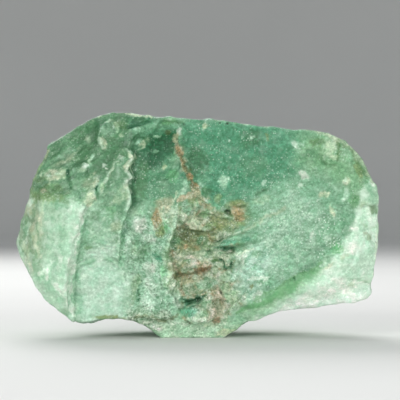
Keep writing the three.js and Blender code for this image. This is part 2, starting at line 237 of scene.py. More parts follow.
# Low steps: line, height, and how far back the raised side (left of the line's run) reaches.
STEPS = [
    # Upper left
    ([(-50.5, 90.5), (-52.5, 88.5), (-56, 85.5), (-60, 83.5), (-63.5, 81), (-63.5, 78), (-61, 73.5),
      (-58, 70.5)], 0.5, 6),
    ([(-49, 73), (-47.6, 77.5), (-48.2, 82)], 1.2, 5),
    (MIDDLE_LEDGE, 1.4, 4),
    ([(-35.5, 60), (-32.4, 66), (-32.2, 71.6), (-33.8, 75.7), (-31, 79), (-34, 81.5), (-32.6, 85.5),
      (-30, 89), (-32.6, 92), (-36, 93.5)], 1.2, 3.5),
    ([(-22.4, 106), (-26.7, 104.6), (-31.6, 102.8), (-36, 101)], 1, 4),
    ([(-41, 109), (-45, 106), (-48, 101), (-48.8, 96.5), (-46.5, 92), (-43.6, 92.5)], 1.4, 6),
    ([(-80, 79), (-72, 78.4), (-66, 80), (-64.5, 82)], 1.2, 5),
    ([(-76, 84), (-69, 87), (-64, 90.5), (-58, 93)], 0.8, 3),
    ([(-71, 92), (-64, 95), (-58, 98), (-53, 104)], 0.7, 3),
    ([(-56, 92), (-52, 97), (-51, 103)], 0.9, 4),
    ([(-49.6, 73.6), (-52.5, 71.8), (-57, 70)], 1.1, 5),
    ([(-31, 92), (-28.6, 96), (-25.5, 98.6)], 1, 3),
    # Strips
    ([(-59.6, 3), (-60, 18), (-59.4, 33), (-58, 41), (-56.4, 49), (-54.2, 57), (-52.6, 62)], 1.6, 6),
    ([(-30.5, 41), (-31.2, 48), (-31.5, 56), (-29.5, 61)], 0.6, 3),
    ([(-20, 46.5), (-23, 48), (-25.5, 50), (-27, 47)], 0.7, 4),
    ([(-28.8, 20), (-29.3, 27), (-29, 34)], -0.7, 4),
    ([(-18.3, 24), (-18.3, 29), (-18.8, 34), (-21, 38.8)], 0.8, 4),
    ([(-17, 22), (-12.5, 23), (-10, 28), (-11.3, 32), (-14.4, 35)], 1, 5),
    ([(-15.3, 41), (-14.2, 44.5), (-11.8, 51), (-10, 57), (-9.2, 63), (-8.8, 68)], 1, 4),
    ([(-20, 63), (-14, 69), (-9, 71)], 0.8, 5),
    ([(-24, 74), (-19, 78), (-16, 84)], -0.7, 5),
    ([(-33, 11.4), (-25, 10.4), (-18, 9.4), (-10, 11)], 1, 4),
    # Stained hollow
    ([(-5, 60), (-2.2, 63), (-1.6, 66.6)], 0.8, 4),
    ([(-9, 54.4), (-3, 52.6), (4, 52), (9, 54)], 1, 4),
    ([(-12, 31.8), (-4, 31.4), (2, 33), (5.4, 34.8)], 0.8, 5),
    ([(-9, 19.8), (-4, 18.6), (0, 20), (4, 22)], 0.8, 4),
    ([(4, 42), (8, 44), (14, 44), (20, 44.6)], 0.3, 4),
    ([(9, 57), (13, 58.6), (17, 58), (23, 59)], 0.9, 4),
    ([(5, 36), (9, 40), (15, 37), (18, 38)], 0.9, 4),
    ([(11, 14), (13, 19), (11, 24), (14, 27)], -0.9, 4),
    ([(22, 52), (28, 56), (36, 59.5), (42, 63)], 0.6, 5),
    # Shell and pale lower right
    ([(37, 73.6), (28, 70), (21, 66.8), (16, 66.4)], 0.8, 7),
    ([(67.4, 87), (68.6, 91), (68.6, 97)], 0.7, 6),
    ([(22, 36), (25, 41), (30, 44)], 0.7, 5),
    ([(27, 28), (32, 28.6), (38, 31)], 0.8, 4),
    ([(66, 32), (72, 30), (79, 28.8), (88, 27)], 0.25, 4),
    ([(90, 54.4), (83, 54.6), (79, 57.6), (77.6, 61.6), (80.4, 64.6)], -0.3, 6),
]

# Pits and lumps: an oval (x, z, two half sizes, turn) and its height (negative for a pit).
BUMPS = [
    (14.7, 62, 1.8, 1.1, -35, -3.2), (46.7, 29.6, 0.9, 0.9, 0, -1.4),
    (12, 105, 0.7, 0.7, 0, -0.8), (14.8, 105.4, 0.7, 0.7, 0, -0.8),
    (-4.8, 7.8, 0.9, 0.9, 0, -1.4), (-63.2, 80.4, 1.3, 2, 0, -1.4),
    (-48.3, 73.4, 0.9, 1.6, 20, -1), (5.5, 42.3, 1.5, 1.3, 30, -0.6),
    (-5.9, 51, 0.8, 0.8, 0, -1), (11.5, 22.3, 1.1, 0.8, 0, -1.2),
    (-75.2, 49.5, 0.9, 0.9, 0, -0.7), (76.7, 78.5, 0.9, 0.7, 0, -0.6),
    (-29, 18.6, 1, 1.2, 0, -1), (-54.7, 84, 1.7, 1.4, 0, 0.8),
    (-46.4, 95.4, 2.4, 4.6, 30, 0.8), (-69.6, 80.3, 8, 3.2, 8, 0.6),
    (-27.8, 95.6, 1.8, 4.2, -30, 0.7), (-52.4, 74.4, 4.6, 4, 30, 0.6),
    (-49, 76, 1.7, 3.2, -24, 0.6), (-53.6, 98, 1.8, 1.8, 0, 0.5),
    (-30.4, 54, 2.4, 5, 8, 0.6), (-24, 26, 4.6, 8, 0, 0.6),
    (-9.2, 100.4, 2, 2.8, -10, 0.9), (-20, 99.5, 2.6, 1.3, 15, 0.9),
    (-20.6, 91, 2.4, 1.3, 25, 0.8), (-16.5, 84.5, 1.7, 2.6, -10, 0.6),
    (13.2, 77.4, 2.3, 2.8, 10, 0.6), (13.2, 60, 2.3, 1.7, 0, 0.9),
    (20, 61.4, 1.7, 4, 0, 0.6), (17, 18.5, 3.6, 5, 0, 0.8),
    (-3.4, 44.6, 2.6, 2.2, 0, 0.8), (76, 43.4, 2.3, 2.8, 10, 0.6),
    (75.6, 53.2, 3.4, 1.2, -35, 0.5), (-73.8, 34, 1, 3.4, 35, 0.5),
]

# Cracks and crevices: line, width, depth (negative for a raised vein).
CRACKS = [
    ([(8, 46.8), (12, 49), (14, 49.6)], 1, 1),
    ([(-11.8, 31.2), (-4, 30.8), (2, 32.4), (5.4, 34.2)], 1.4, 0.5),
    ([(-8, 53.6), (-2, 51.8), (5, 51.2), (10, 53.4)], 1.8, 0.7),
    ([(10, 39), (12, 36.6), (14, 34)], 1, 0.9),
    ([(13, 34), (15.4, 36), (17.4, 36)], 1, 0.9),
    ([(68.4, 97), (69.2, 93), (68.4, 90), (67.8, 87.4)], 1, 0.6),
    ([(-22.5, 42), (-19, 39), (-15.5, 36.5)], 1.7, 0.9),
    ([(-34, 103.2), (-31.6, 103.4), (-26.7, 105), (-23.3, 106.6)], 1.5, 1.2),
    ([(-58, 86.4), (-55, 91), (-51, 97), (-52, 104)], 3, 0.9),
    ([(-56.6, 71), (-57, 67), (-57.4, 62)], 0.9, 0.5),
    ([(-10, 97), (-10.4, 91), (-7, 87), (-6.6, 83), (-4.4, 80.4), (-1.8, 77), (0.6, 73)], 1, 0.6),
    ([(17, 66), (20, 66), (24, 67.2)], 1, 0.6),
    ([(-78, 27), (-70, 28), (-66, 25), (-63, 20), (-61.4, 15)], 1.2, -0.5),
]

# ---- Colours, as they look on screen (0 to 255) --------------------------------------------------

COLOURS = {
    # Greens, from dark to light
    "pit": (22, 46, 26),
    "pool": (14, 90, 50),
    "deep": (36, 96, 62),
    "shade": (52, 108, 68),
    "pine": (74, 126, 82),
    "sea": (66, 139, 101),
    "fern": (96, 146, 106),
    "grass": (98, 158, 100),
    "leaf": (110, 160, 120),
    "teal": (98, 172, 136),
    "vivid": (104, 180, 118),
    "jade": (117, 170, 132),
    "green": (134, 183, 146),
    "sage": (144, 186, 150),
    "dew": (160, 201, 168),
    "mint": (174, 212, 181),
    "frost": (184, 216, 192),
    "rime": (194, 222, 198),
    "pale": (208, 236, 211),
    "ivory": (220, 240, 212),
    "white": (236, 247, 230),
    # Yellowish and greyish greens, and browns
    "mud": (94, 102, 58),
    "moss": (94, 134, 82),
    "weed": (126, 146, 90),
    "lichen": (130, 160, 122),
    "olive": (140, 164, 112),
    "dust": (168, 190, 154),
    "celadon": (176, 207, 168),
    "straw": (188, 200, 160),
    "grey": (186, 202, 182),
    "cream": (200, 213, 179),
    "umber": (84, 76, 42),
    "earth": (128, 104, 68),
    "clay": (164, 142, 98),
    "brown": (158, 148, 116),
    "rust": (176, 136, 94),
    "tan": (170, 168, 132),
}

# Areas of colour: outline, softness of its border, colour, how strong it is.
AREAS = [
    (LEFT_PLATE, 1, "mint", 1),
    ([(-88, 66), (-78, 67), (-74, 50), (-76, 36), (-83, 33), (-91, 44)], 5, (130, 160, 124), 0.9),
    ([(-84, 73), (-82, 67), (-70, 65.5), (-63, 67), (-62, 71)], 2.5, (116, 150, 94), 0.85),
    (UPPER_LEFT, 1.5, (98, 143, 105), 1),
    ([(-60, 80), (-57, 106), (-40, 110), (-34, 94), (-42, 78), (-50, 74)], 5, (74, 122, 82), 0.85),
    (STRIP, 1.5, (114, 158, 122), 1),
    (RIPPLES, 3, "frost", 1),
    (CRUMBLY, 1.5, (146, 188, 156), 1),
    (UNDER_RIM, 2.5, (96, 151, 114), 1),
    (HOLLOW, 2, (170, 188, 156), 1),
    (SHELL, 2, (117, 168, 131), 1),
    ([(-9, 108), (-9, 92), (-3, 80), (6, 68), (20, 66), (34, 72), (46, 82), (50, 96), (40, 108)], 8,
     "sea", 0.9),
    ([(26, 66), (44, 74), (58, 70), (62, 56), (52, 40), (38, 30), (26, 34), (22, 50)], 8,
     (164, 204, 175), 0.8),
    ([(40, 50), (56, 64), (66, 66), (72, 56), (68, 46), (56, 36), (46, 34)], 5, (134, 178, 144), 0.6),
    ([(50, 98), (62, 100), (80, 84), (84, 70), (74, 70), (62, 82), (48, 86)], 6, (128, 174, 128), 0.8),
    ([(14, 30), (22, 42), (32, 50), (36, 42), (32, 26), (26, 18), (18, 20)], 3, (172, 208, 184), 0.8),
    (LOWER_RIGHT, 1.2, "pale", 1),
    ([(74, 28), (92, 30), (92, 48), (80, 50), (72, 40)], 5, (186, 222, 194), 0.8),
    ([(14, 6), (22, 13), (32, 18), (44, 25), (54, 31), (60, 36), (60, 31), (50, 24), (42, 17), (34, 13),
      (26, 9), (18, 2)], 3, (158, 206, 160), 0.7),
    # Painted light: the lower band, which curves down into shade, is made near white.
    ([(34, 8), (42, 17), (56, 23), (74, 26), (92, 27), (90, 14), (60, 6)], 3, (242, 255, 242), 0.95),
    (CREST_BAND, 1.4, (108, 170, 114), 0.9),
    ([(79, 66), (81, 73), (85, 80), (92, 78), (92, 63), (86, 64.4), (82, 66)], 1.4, (156, 198, 164), 0.9),
    (LOWER_LEFT_CRUMBS, 2, (178, 200, 172), 0.85),
    (LOBE, 2.5, (206, 236, 206), 0.9),
    # Inside the stained hollow
    ([(-9, 52), (-10, 58), (-4, 61), (1, 60), (3, 56), (2, 52)], 2.2, (170, 172, 142), 0.6),
    ([(-13, 51), (8, 51), (7, 43), (-10, 42)], 2, (116, 140, 90), 0.7),
    ([(-14, 41), (4, 41), (7, 36), (2, 32), (-12, 31)], 2.2, (188, 192, 164), 0.65),
    ([(6, 28), (14, 28), (15, 18), (12, 9), (6, 10), (7, 20)], 2.2, (174, 164, 138), 0.65),
    ([(18, 27), (24, 43), (31, 44), (34, 37), (29, 28)], 2, (176, 212, 190), 0.7),
    ([(8, 62), (16, 66), (24, 66), (25, 58), (16, 54), (6, 54)], 2, (140, 146, 98), 0.75),
]

# Mottling of the stained hollow: size, seed, colour, how strong it is.
STAIN_MOTTLE = [
    (5, 112, (92, 106, 56), 0.42),
    (6, 114, (152, 112, 72), 0.45),
    (6.5, 116, (108, 176, 128), 0.45),
    (3.2, 118, (218, 222, 206), 0.6),
]

# Shares of white painted glints, dark crumbs, pale frost and coarse grain in the areas.
TRAITS = [
    (LEFT_PLATE, (0.25, 0.03, 0.45, 0.5)),
    (UPPER_LEFT, (0.4, 0.15, 0.15, 0.8)),
    (STRIP, (0.35, 0.1, 0.3, 0.8)),
    (RIPPLES, (0.3, 0.05, 0.5, 0.65)),
    (CRUMBLY, (1, 0.5, 0.3, 1.4)),
    (UNDER_RIM, (0.55, 0.2, 0.1, 0.9)),
    (DARK_POCKET, (0.25, 0.1, 0, 1.1)),
    (HOLLOW, (0.9, 0.45, 0.15, 1.5)),
    (CRACK_SIDES, (1, 0.9, 0.1, 2)),
    (SHELL, (0.52, 0.04, 0.12, 0.95)),
    (SHELL_FOOT, (1.1, 0.04, 0.25, 1.05)),
    (LOWER_RIGHT, (0.15, 0.05, 0.7, 0.55)),
    (CREST_BAND, (0, 0, 0.1, 0.4)),
    (LOWER_LEFT_CRUMBS, (0.7, 0.8, 0.3, 2)),
    (LOBE, (0.7, 0.25, 0.3, 1.3)),
]

# Light and dark streaks: outline, its softness, how strong they are, then their turn, length, width, seed.
GRAIN = [
    (LEFT_PLATE, 3, 0.07, (84, 14, 2.4, 14)),
    (UPPER_LEFT, 3, 0.11, (36, 12, 1.9, 15)),
    (SHELL_FOOT, 5, 0.1, (36, 9, 1.7, 18)),
    (CRUMBLY, 3, 0.07, (88, 9, 2.2, 19)),
]

# Each ledge has a paler edge on its raised left side, partly painted highlight, and painted shade on its
# lower right side.
# Ledges: line, then colour, width and strength on the left and on the right of its run.
LEDGE_HIGHLIGHT_AND_SHADE = [
    (LEFT_LEDGE, ("rime", 5.4, 0.75), ("dew", 5.4, 0.8)),
    (MIDDLE_LEDGE, ("celadon", 2.2, 0.7), ("leaf", 2.6, 0.6)),
    (JAGGED_LEDGE[6:], ("grey", 3.4, 0.85), ("shade", 3.4, 0.95)),
    (JAGGED_LEDGE[:7], ("mint", 3, 0.7), ("leaf", 2, 0.6)),
    (INNER_LEDGE, ("celadon", 2.4, 0.7), ("moss", 2.6, 0.6)),
]

# Spots on it: an oval (x, z, two half sizes, turn), its colour and how strong it is.
SPOTS = [
    # Left plate
    (-83, 64, 4, 5, 0, "straw", 0.7), (-77.6, 60, 2.4, 4.4, 0, "cream", 0.7),
    (-80.3, 51.4, 1.8, 4.4, 10, "straw", 0.7), (-68.4, 63.4, 6, 3.6, 0, "sage", 0.75),
    (-60, 60, 4, 6, -10, "rime", 0.55), (-71, 52, 3, 2.4, 0, "rime", 0.6),
    (-72.2, 56.6, 1.6, 1.3, 0, "white", 0.7), (-68, 50, 7, 12, 10, "sage", 0.45),
    (-76.8, 32.6, 3, 4.6, 20, "sage", 0.85), (-73.8, 34, 1.4, 3, 35, "white", 0.6),
    (-66.5, 40, 1.2, 2.6, 10, "white", 0.7), (-70, 43, 5, 6, 0, "sage", 0.35),
    (-66, 25, 3, 3.4, -20, "pale", 0.6), (-62.5, 45, 2.2, 8, -6, "pale", 0.6),
    (-85, 37.5, 1.6, 4, 15, "cream", 0.8), (-82, 66.6, 1.8, 2, 0, "pale", 0.9),
    (-51.8, 68.4, 4, 3.8, 25, "cream", 0.95), (-55.6, 70.4, 3, 2.6, 0, "fern", 0.85),
    # The first spot is painted light on the ledge's rounded edge, which lies in shade.
    (-56.4, 56, 1.6, 6.4, -14, "white", 0.9), (-75, 70, 5, 2.4, 0, "moss", 0.7),
    (-57.6, 63.6, 3.6, 3.4, 10, "pale", 0.7), (-66, 65, 6, 2.8, 0, "green", 0.9),
    # The first spot is painted light on the ledge's rounded edge, which lies in shade.
    (-63.4, 28, 2.2, 6, 0, "white", 0.8), (-64, 13.6, 2.4, 3, 0, "sage", 0.7),
    (-84.6, 53, 2, 4.4, 0, "leaf", 0.7), (-56.6, 69.2, 1, 0.9, 0, "deep", 0.8),
    # Upper left
    (-71, 73, 9, 2.8, 0, "moss", 0.6), (-76, 77.4, 4, 1.6, 10, "moss", 0.7),
    (-74, 73, 2.2, 1.2, 0, "brown", 0.6), (-69.6, 80.3, 8, 3.2, 8, "cream", 0.9),
    (-72.4, 80, 1.6, 1.2, 0, "white", 0.8), (-64.4, 90.8, 5.6, 1.7, 28, "sage", 0.7),
    (-66, 86.4, 7, 1.8, 16, "lichen", 0.6), (-59, 88, 3, 2.4, 30, "lichen", 0.6),
    (-62.8, 80.6, 1.3, 2.4, 0, "deep", 0.95), (-53.6, 84.4, 3.4, 2.2, 0, "dew", 0.7),
    (-54.5, 84.2, 2.1, 1.8, 0, "white", 1), (-51.6, 88.2, 1, 2.4, -25, "pale", 0.8),
    (-58, 81.4, 3, 2, 10, "dew", 0.7), (-52.4, 74.4, 4.4, 4, 30, "dust", 0.7),
    (-49, 76, 1.5, 2.8, -24, "straw", 0.85), (-50.6, 82.2, 2.6, 1.8, 0, "fern", 0.8),
    (-57.6, 78, 3.6, 4.6, -20, "fern", 0.75), (-46.4, 95.4, 2.2, 4.4, 30, "cream", 1),
    (-43.6, 103.4, 5, 5.6, 15, "green", 0.8), (-41.2, 103.4, 0.8, 2, 0, "pale", 0.7),
    (-53.6, 98, 1.8, 1.8, 0, "dust", 0.7), (-51.2, 106, 1.3, 1.1, 0, "dust", 0.7),
    (-58.2, 100.4, 5, 3.2, 20, "pine", 0.95), (-47.4, 105.8, 4.4, 3, 0, "shade", 0.8),
    (-45.8, 79.4, 2.2, 4.2, -10, "fern", 0.7), (-46.6, 69.6, 2.4, 2.6, 0, "fern", 0.7),
    (-63.4, 93, 5, 3, 30, "fern", 0.7), (-39, 99, 2.8, 2.4, 0, "pine", 0.6),
    (-38.4, 82.6, 2.4, 4, -10, "fern", 0.7), (-35.2, 90.6, 2.2, 2.4, 0, "pine", 0.9),
    (-33.8, 84, 1.8, 3.6, 0, "cream", 0.9), (-35.6, 96.6, 2.6, 3, 0, "shade", 0.8),
    (-31.6, 107.4, 5, 2, 5, "shade", 0.85), (-64, 75.4, 3.4, 2, 0, "sage", 0.7),
    (-63.5, 68.4, 3, 1.6, 0, "leaf", 0.7), (-58.5, 93.6, 0.9, 2.4, -10, "dust", 0.7),
    (-72.8, 92, 0.7, 0.7, 0, "white", 0.8), (-56.6, 82.6, 2.6, 1.2, 20, "celadon", 0.7),
    (-52.4, 86.6, 1, 2.2, -20, "celadon", 0.6), (-69, 89, 3.4, 1, 20, "dew", 0.6),
    (-55.6, 91.6, 4, 7, -35, "pine", 0.75), (-47, 88, 2.6, 4, -20, "fern", 0.6),
    (-38, 104.8, 4, 2.2, 0, "moss", 0.7), (-71, 90, 4, 3, 30, "pine", 0.7),
    (-60.2, 80.2, 1.6, 2.4, 0, "sage", 0.7), (-33, 99.4, 4, 3, 10, "shade", 0.8),
    (-37.2, 99.8, 1.8, 1.2, 20, "dust", 0.7), (-31.8, 88.8, 1.6, 3.4, 25, "cream", 0.85),
    (-35, 71.4, 2.4, 5.4, -10, "dust", 0.75), (-30.6, 105, 3.4, 1.8, 15, "deep", 0.8),
    (-30.5, 97.6, 3.6, 2.4, 20, "shade", 0.85), (-27.4, 107.2, 3, 1.4, -10, "shade", 0.75),
    (-45, 85, 0.9, 0.9, 0, "white", 0.7), (-44.2, 83, 0.7, 0.7, 0, "white", 0.7),
    (-52.4, 77.4, 0.6, 0.6, 0, "white", 0.8), (-41.4, 74.6, 0.8, 0.7, 0, "white", 0.6),
    (-48.2, 73, 0.8, 1.6, 20, "pool", 0.8),
    # Left strip
    (-43, 10.6, 9, 1.7, 3, "weed", 0.85), (-42.4, 50.6, 3.4, 4, 0, "mint", 0.6),
    (-39.4, 55, 3.4, 3.4, 0, "dust", 0.7), (-39, 68, 3.4, 2.4, 0, "dust", 0.6),
    (-42, 62, 3, 4, -10, "vivid", 0.4), (-45.6, 74, 1.2, 2.4, -20, "celadon", 0.8),
    (-37.8, 88.6, 1.4, 1.8, -30, "grey", 0.8), (-48.5, 51, 8, 7, 0, "dew", 0.7),
    (-44.4, 58.4, 3.6, 4.6, 0, "dew", 0.65), (-48, 55, 3, 4, -30, "frost", 0.5),
    (-52, 38, 4, 2.6, 20, "sage", 0.5), (-53, 45, 1.6, 1.4, 0, "moss", 0.5),
    (-42, 38, 5, 3, -30, "leaf", 0.4), (-34, 20, 2.4, 9, -12, "sage", 0.5),
    (-34.6, 52, 1.6, 8, 3, "rime", 0.85),
    # Crumbly strip
    (-18, 61, 6, 8, 0, "lichen", 0.6), (-27.8, 55.6, 3.8, 4.4, 15, "grey", 0.95),
    (-29.4, 58.4, 2, 1.2, 0, "rime", 0.8), (-23.4, 49, 3.4, 2.4, -30, "grey", 0.8),
    (-21.8, 44.6, 2.8, 2, 0, "mint", 0.7), (-23.6, 34, 4.4, 4.4, -6, "grey", 0.9),
    (-23.8, 27, 4.6, 4.4, 0, "rime", 0.9), (-24, 19, 4, 6.4, 0, "rime", 0.95),
    (-29.4, 28, 1.4, 5, 0, "celadon", 0.8), (-20.6, 4.6, 3.4, 1.8, -30, "white", 0.9),
    (-13, 22.4, 2, 2.6, 0, "rime", 0.7), (-24.6, 43, 3.2, 3.6, 0, "fern", 0.7),
    (-27.8, 38.2, 2.6, 2.8, 0, "fern", 0.7), (-19.6, 59, 2.6, 6, -6, "clay", 0.85),
    (-18, 52.6, 2.2, 4, 0, "weed", 0.85), (-17, 60, 1.5, 4, 30, "cream", 0.7),
    (-15, 58, 1.4, 1.2, 0, "ivory", 0.9), (-16, 66, 5, 5, 0, "tan", 0.6),
    (-12.4, 60, 1.6, 6, -8, "dust", 0.7), (-15.6, 54, 1.6, 3, 0, "vivid", 0.7),
    (-29.5, 43.5, 5, 5, 0, "lichen", 0.5), (-29, 47, 2, 4.6, 0, "jade", 0.7),
    (-26.4, 41.6, 2, 2.4, 0, "pine", 0.8), (-19, 39.6, 4, 1.5, -38, "sea", 0.85),
    (-16.6, 33, 1.7, 4.4, 0, "vivid", 0.5), (-13.2, 28, 3, 4.6, 15, "celadon", 1),
    # The first spot is painted light beside the inner ledge, where shade falls.
    (-11.4, 27, 2.2, 3.8, 0, "ivory", 0.85), (-10.2, 17.6, 2.6, 4, 0, "pale", 0.85),
    # The first spot is a pale ridge, partly painted light against the shade of the hollow's wall.
    (-8.4, 58.2, 1.9, 4.6, -10, "ivory", 0.95), (-14.8, 29, 0.7, 1.2, 0, "white", 0.7),
    (-14.6, 17, 3.4, 4.6, 0, "green", 0.6), (-31, 24, 1.4, 9, -8, "lichen", 0.6),
    # Under the top rim
    (-18, 95, 12.5, 8.4, 14, "pool", 0.9), (-18.5, 95.6, 7, 4.6, 14, "pool", 0.85),
    (-11, 86.4, 3, 4, 0, "sage", 0.8), (-25, 97, 2, 2.6, 20, "pine", 0.7),
    (-12.4, 92.6, 2.4, 1.6, -30, "shade", 0.8), (-22, 87.6, 8, 5, 25, "deep", 0.9),
    (-28.4, 99, 2.6, 3, 0, "shade", 0.7), (-27, 94.8, 1.4, 4.2, -38, "dust", 0.95),
    (-20, 99.5, 2.8, 1, 15, "sage", 0.9), (-20.6, 91, 2.4, 1.1, 25, "green", 0.8),
    (-14.2, 106, 4.6, 2.2, 8, "grass", 0.65), (-14.6, 101.4, 2, 1.6, 30, "mud", 0.7),
    (-9.2, 98, 2.2, 3, 0, "dew", 0.7), (-8.6, 105.8, 3, 1.4, 0, "pine", 0.7),
    (-5.8, 75.4, 2, 3.2, 0, "mint", 0.75), (-7, 66.2, 2.4, 2.2, 0, "leaf", 0.75),
    (-9.2, 100.4, 1.8, 2.6, -10, "grey", 0.95), (-7.6, 104.2, 2, 0.9, 0, "deep", 0.8),
    (-16.4, 84.5, 1.4, 2.4, -10, "straw", 0.85), (-27.4, 75, 4, 10, 0, "pine", 0.8),
    (-26, 84, 4, 3.4, 0, "pine", 0.7), (-12, 79.5, 3.4, 4, -30, "vivid", 0.7),
    (-17, 74, 3, 5, 10, "leaf", 0.5), (-8.5, 86.4, 1.3, 2.6, 10, "grey", 0.7),
    (-7, 79.6, 1.8, 1.5, 0, "sea", 0.9), (-7.4, 72.4, 3.6, 1.5, 40, "mint", 0.8),
    (-24, 66, 4, 3, 0, "dew", 0.6), (-4.6, 70, 4, 1.3, 8, "tan", 0.85),
    # Shell
    (13, 77, 2.6, 3.4, 10, "mint", 0.9), (14.2, 78.4, 1.2, 1, 0, "pale", 0.8),
    (33.2, 76, 1.8, 1.6, 0, "rime", 0.85), (3, 82.6, 5, 1.6, 0, "green", 0.6),
    (3, 78, 2.4, 2.6, 0, "jade", 0.5), (3.2, 103.4, 1.3, 2.6, 0, "straw", 0.75),
    (12, 105.1, 0.7, 0.6, 0, "pit", 1), (14.9, 105.2, 0.7, 0.6, 0, "pit", 1),
    (34.8, 99, 1.3, 2.4, 0, "weed", 0.8), (33.6, 97.2, 0.8, 0.8, 0, "cream", 0.8),
    (0, 87.4, 7, 9, 0, "shade", 0.85), (25, 97.4, 7, 6, 0, "shade", 0.8),
    (47.6, 63.6, 6, 4, 30, "green", 0.7), (39.4, 58.6, 5, 3.4, 30, "green", 0.7),
    (33.4, 62.6, 4, 2.6, 30, "jade", 0.7), (29.4, 49.2, 4, 3, 30, "jade", 0.7),
    (54, 89, 5, 4, 0, "fern", 0.7), (64.8, 47.6, 3.4, 3.4, 0, "leaf", 0.75),
    (60.6, 36.8, 3, 1.8, 35, "rime", 0.7), (38, 66.4, 6, 4, 20, "jade", 0.7),
    (8, 72.8, 6, 3.6, 0, "sea", 0.8), (13, 97, 14, 7, 10, "sea", 0.6),
    (28, 84, 9, 7, 0, "fern", 0.5), (48, 95, 3.6, 2.2, -25, "rime", 0.9),
    (58, 95.6, 4, 3, 0, "moss", 0.7), (72.8, 76.4, 3.2, 2.8, 0, "cream", 0.8),
    (51.7, 80.4, 3.8, 2.4, -20, "grey", 0.85), (50.4, 74.4, 1.3, 1.5, 0, "pale", 0.7),
    (26.8, 99, 0.9, 1, 0, "pale", 0.8), (16.2, 95.8, 0.7, 0.7, 0, "white", 0.8),
    (15.8, 88.6, 0.7, 0.8, 0, "white", 0.7), (15.6, 84, 0.8, 1, 0, "shade", 0.8),
    (31.4, 68, 6, 2, 18, "celadon", 0.5), (31.4, 71.4, 5, 1.2, 18, "fern", 0.7),
    (19.8, 66.2, 4, 1.7, 12, "weed", 0.85), (10.4, 69, 2.2, 2.8, 0, "olive", 0.7),
    (31, 71.4, 3, 0.8, 20, "shade", 0.6), (64.6, 93.4, 3.8, 4.2, -8, "celadon", 1),
    (66, 88.6, 2.4, 1.2, 0, "cream", 0.8), (61.6, 70.2, 2.8, 2.3, 0, "cream", 0.95),
    (65.4, 62.6, 2.1, 3.8, 15, "cream", 0.9), (72, 77, 1.6, 2.2, 0, "pale", 0.6),
    (71.8, 70, 1.8, 3.8, 0, "pale", 0.8), (76.4, 68, 3.2, 4.8, -10, "grass", 0.65),
    (78, 82, 2.4, 6, 15, "weed", 0.7), (68, 44.4, 3.6, 3, 25, "vivid", 0.9),
    (55.6, 50.5, 1, 2.2, 0, "white", 0.7), (63, 48.5, 1.1, 2.6, 0, "pale", 0.5),
    (35, 46.4, 3, 3, 20, "pale", 0.5), (21.6, 39.2, 3.8, 2.7, 55, "white", 0.9),
    (28.4, 41, 3, 2.6, 30, "sage", 0.8), (30, 29.6, 6.4, 1.2, 8, "white", 1),
    (26, 24.7, 1.2, 2.4, -20, "weed", 0.8), (29, 20.8, 4.4, 2.4, 25, "grey", 0.8),
    (32, 44, 5, 1.2, 35, "fern", 0.5), (27, 57.4, 8, 5, 33, "leaf", 0.6),
    # Stained hollow
    (-5, 63, 2.8, 3.2, 0, "green", 0.95), (-1.4, 62.6, 0.8, 2.6, -20, "cream", 0.9),
    (1.4, 66.4, 3, 1.4, -40, "dust", 0.85), (-2.8, 67.2, 2.6, 1.8, 0, "weed", 0.8),
    (4.6, 71.8, 2.6, 2.6, 0, "pine", 0.85), (6, 63.6, 3.4, 1.5, -35, "celadon", 0.9),
    (12.6, 64, 1.8, 0.9, -20, "grey", 0.9), (14.7, 62, 1.7, 1, -35, "pit", 1),
    (20, 61.4, 2.8, 5, 0, "clay", 0.9), (10, 55.6, 4, 2.4, -20, "weed", 0.7),
    (20, 56, 4, 1.6, 5, "weed", 0.7), (4, 60.4, 3, 2, 0, "grass", 0.6),
    (-1.6, 57.4, 3.4, 2.2, -15, "cream", 0.6), (6, 55, 3.6, 3, 0, "moss", 0.6),
    (15, 54, 3, 2.4, 0, "moss", 0.5), (14.4, 62.8, 3.4, 2.6, -20, "shade", 0.5),
    (9.8, 43.8, 2.8, 2, 0, "leaf", 0.7), (13.5, 30, 2.8, 2.4, 0, "lichen", 0.5),
    (-5, 49.4, 6, 2.6, 0, "mud", 0.8), (0.8, 48, 1.8, 2.4, 0, "pine", 0.7),
    (4.2, 45.8, 3, 1.8, 0, "moss", 0.85), (18.2, 14.8, 3.4, 2.6, 0, "pale", 0.8),
    (6.4, 50, 2, 2, 0, "clay", 0.6), (-6.5, 44.8, 2.8, 2, 0, "clay", 0.8),
    (-11.6, 46, 2, 3.4, 20, "fern", 0.7), (-11, 35.6, 3, 3, 0, "tan", 0.7),
    (1.6, 33.6, 4, 1.7, 16, "earth", 0.85), (-6, 28.6, 5, 2.2, -5, "tan", 0.85),
    (14.4, 24.8, 2.6, 3, 0, "cream", 0.85), (17, 10.4, 3.6, 2.4, 20, "rime", 0.85),
    (16.8, 38.2, 2.4, 2.8, 0, "dew", 0.8), (-3.2, 61.8, 1.6, 2, 0, "grey", 0.6),
    (6, 6.4, 3, 2, 0, "dust", 0.7), (8, 38, 2.6, 1.4, 0, "moss", 0.9),
    (12.4, 36.6, 0.7, 3, 38, "pool", 0.9), (15.6, 35.6, 2, 0.7, 10, "shade", 0.9),
    (4.6, 26.6, 5.4, 3.6, 25, "sage", 0.9), (11.5, 22.3, 1.2, 0.7, 0, "pit", 0.9),
    (1.8, 22.8, 1, 1.6, -20, "straw", 0.8), (-3, 18.2, 6, 1.2, 12, "sea", 0.7),
    (0, 14, 3.4, 2.4, 0, "rime", 0.8), (2.8, 20.8, 2.4, 0.8, 12, "pool", 0.9),
    (-4, 14, 5.6, 3.6, 0, "teal", 0.9), (17.6, 18.8, 4.2, 5, 0, "celadon", 0.9),
    (9.4, 9, 2.4, 1.4, 30, "earth", 0.7), (15, 43.8, 5, 1, 3, "sea", 0.9),
    (11, 47.8, 2.6, 1.2, 25, "shade", 0.9), (5.4, 42.3, 1.5, 1.2, 30, "shade", 0.8),
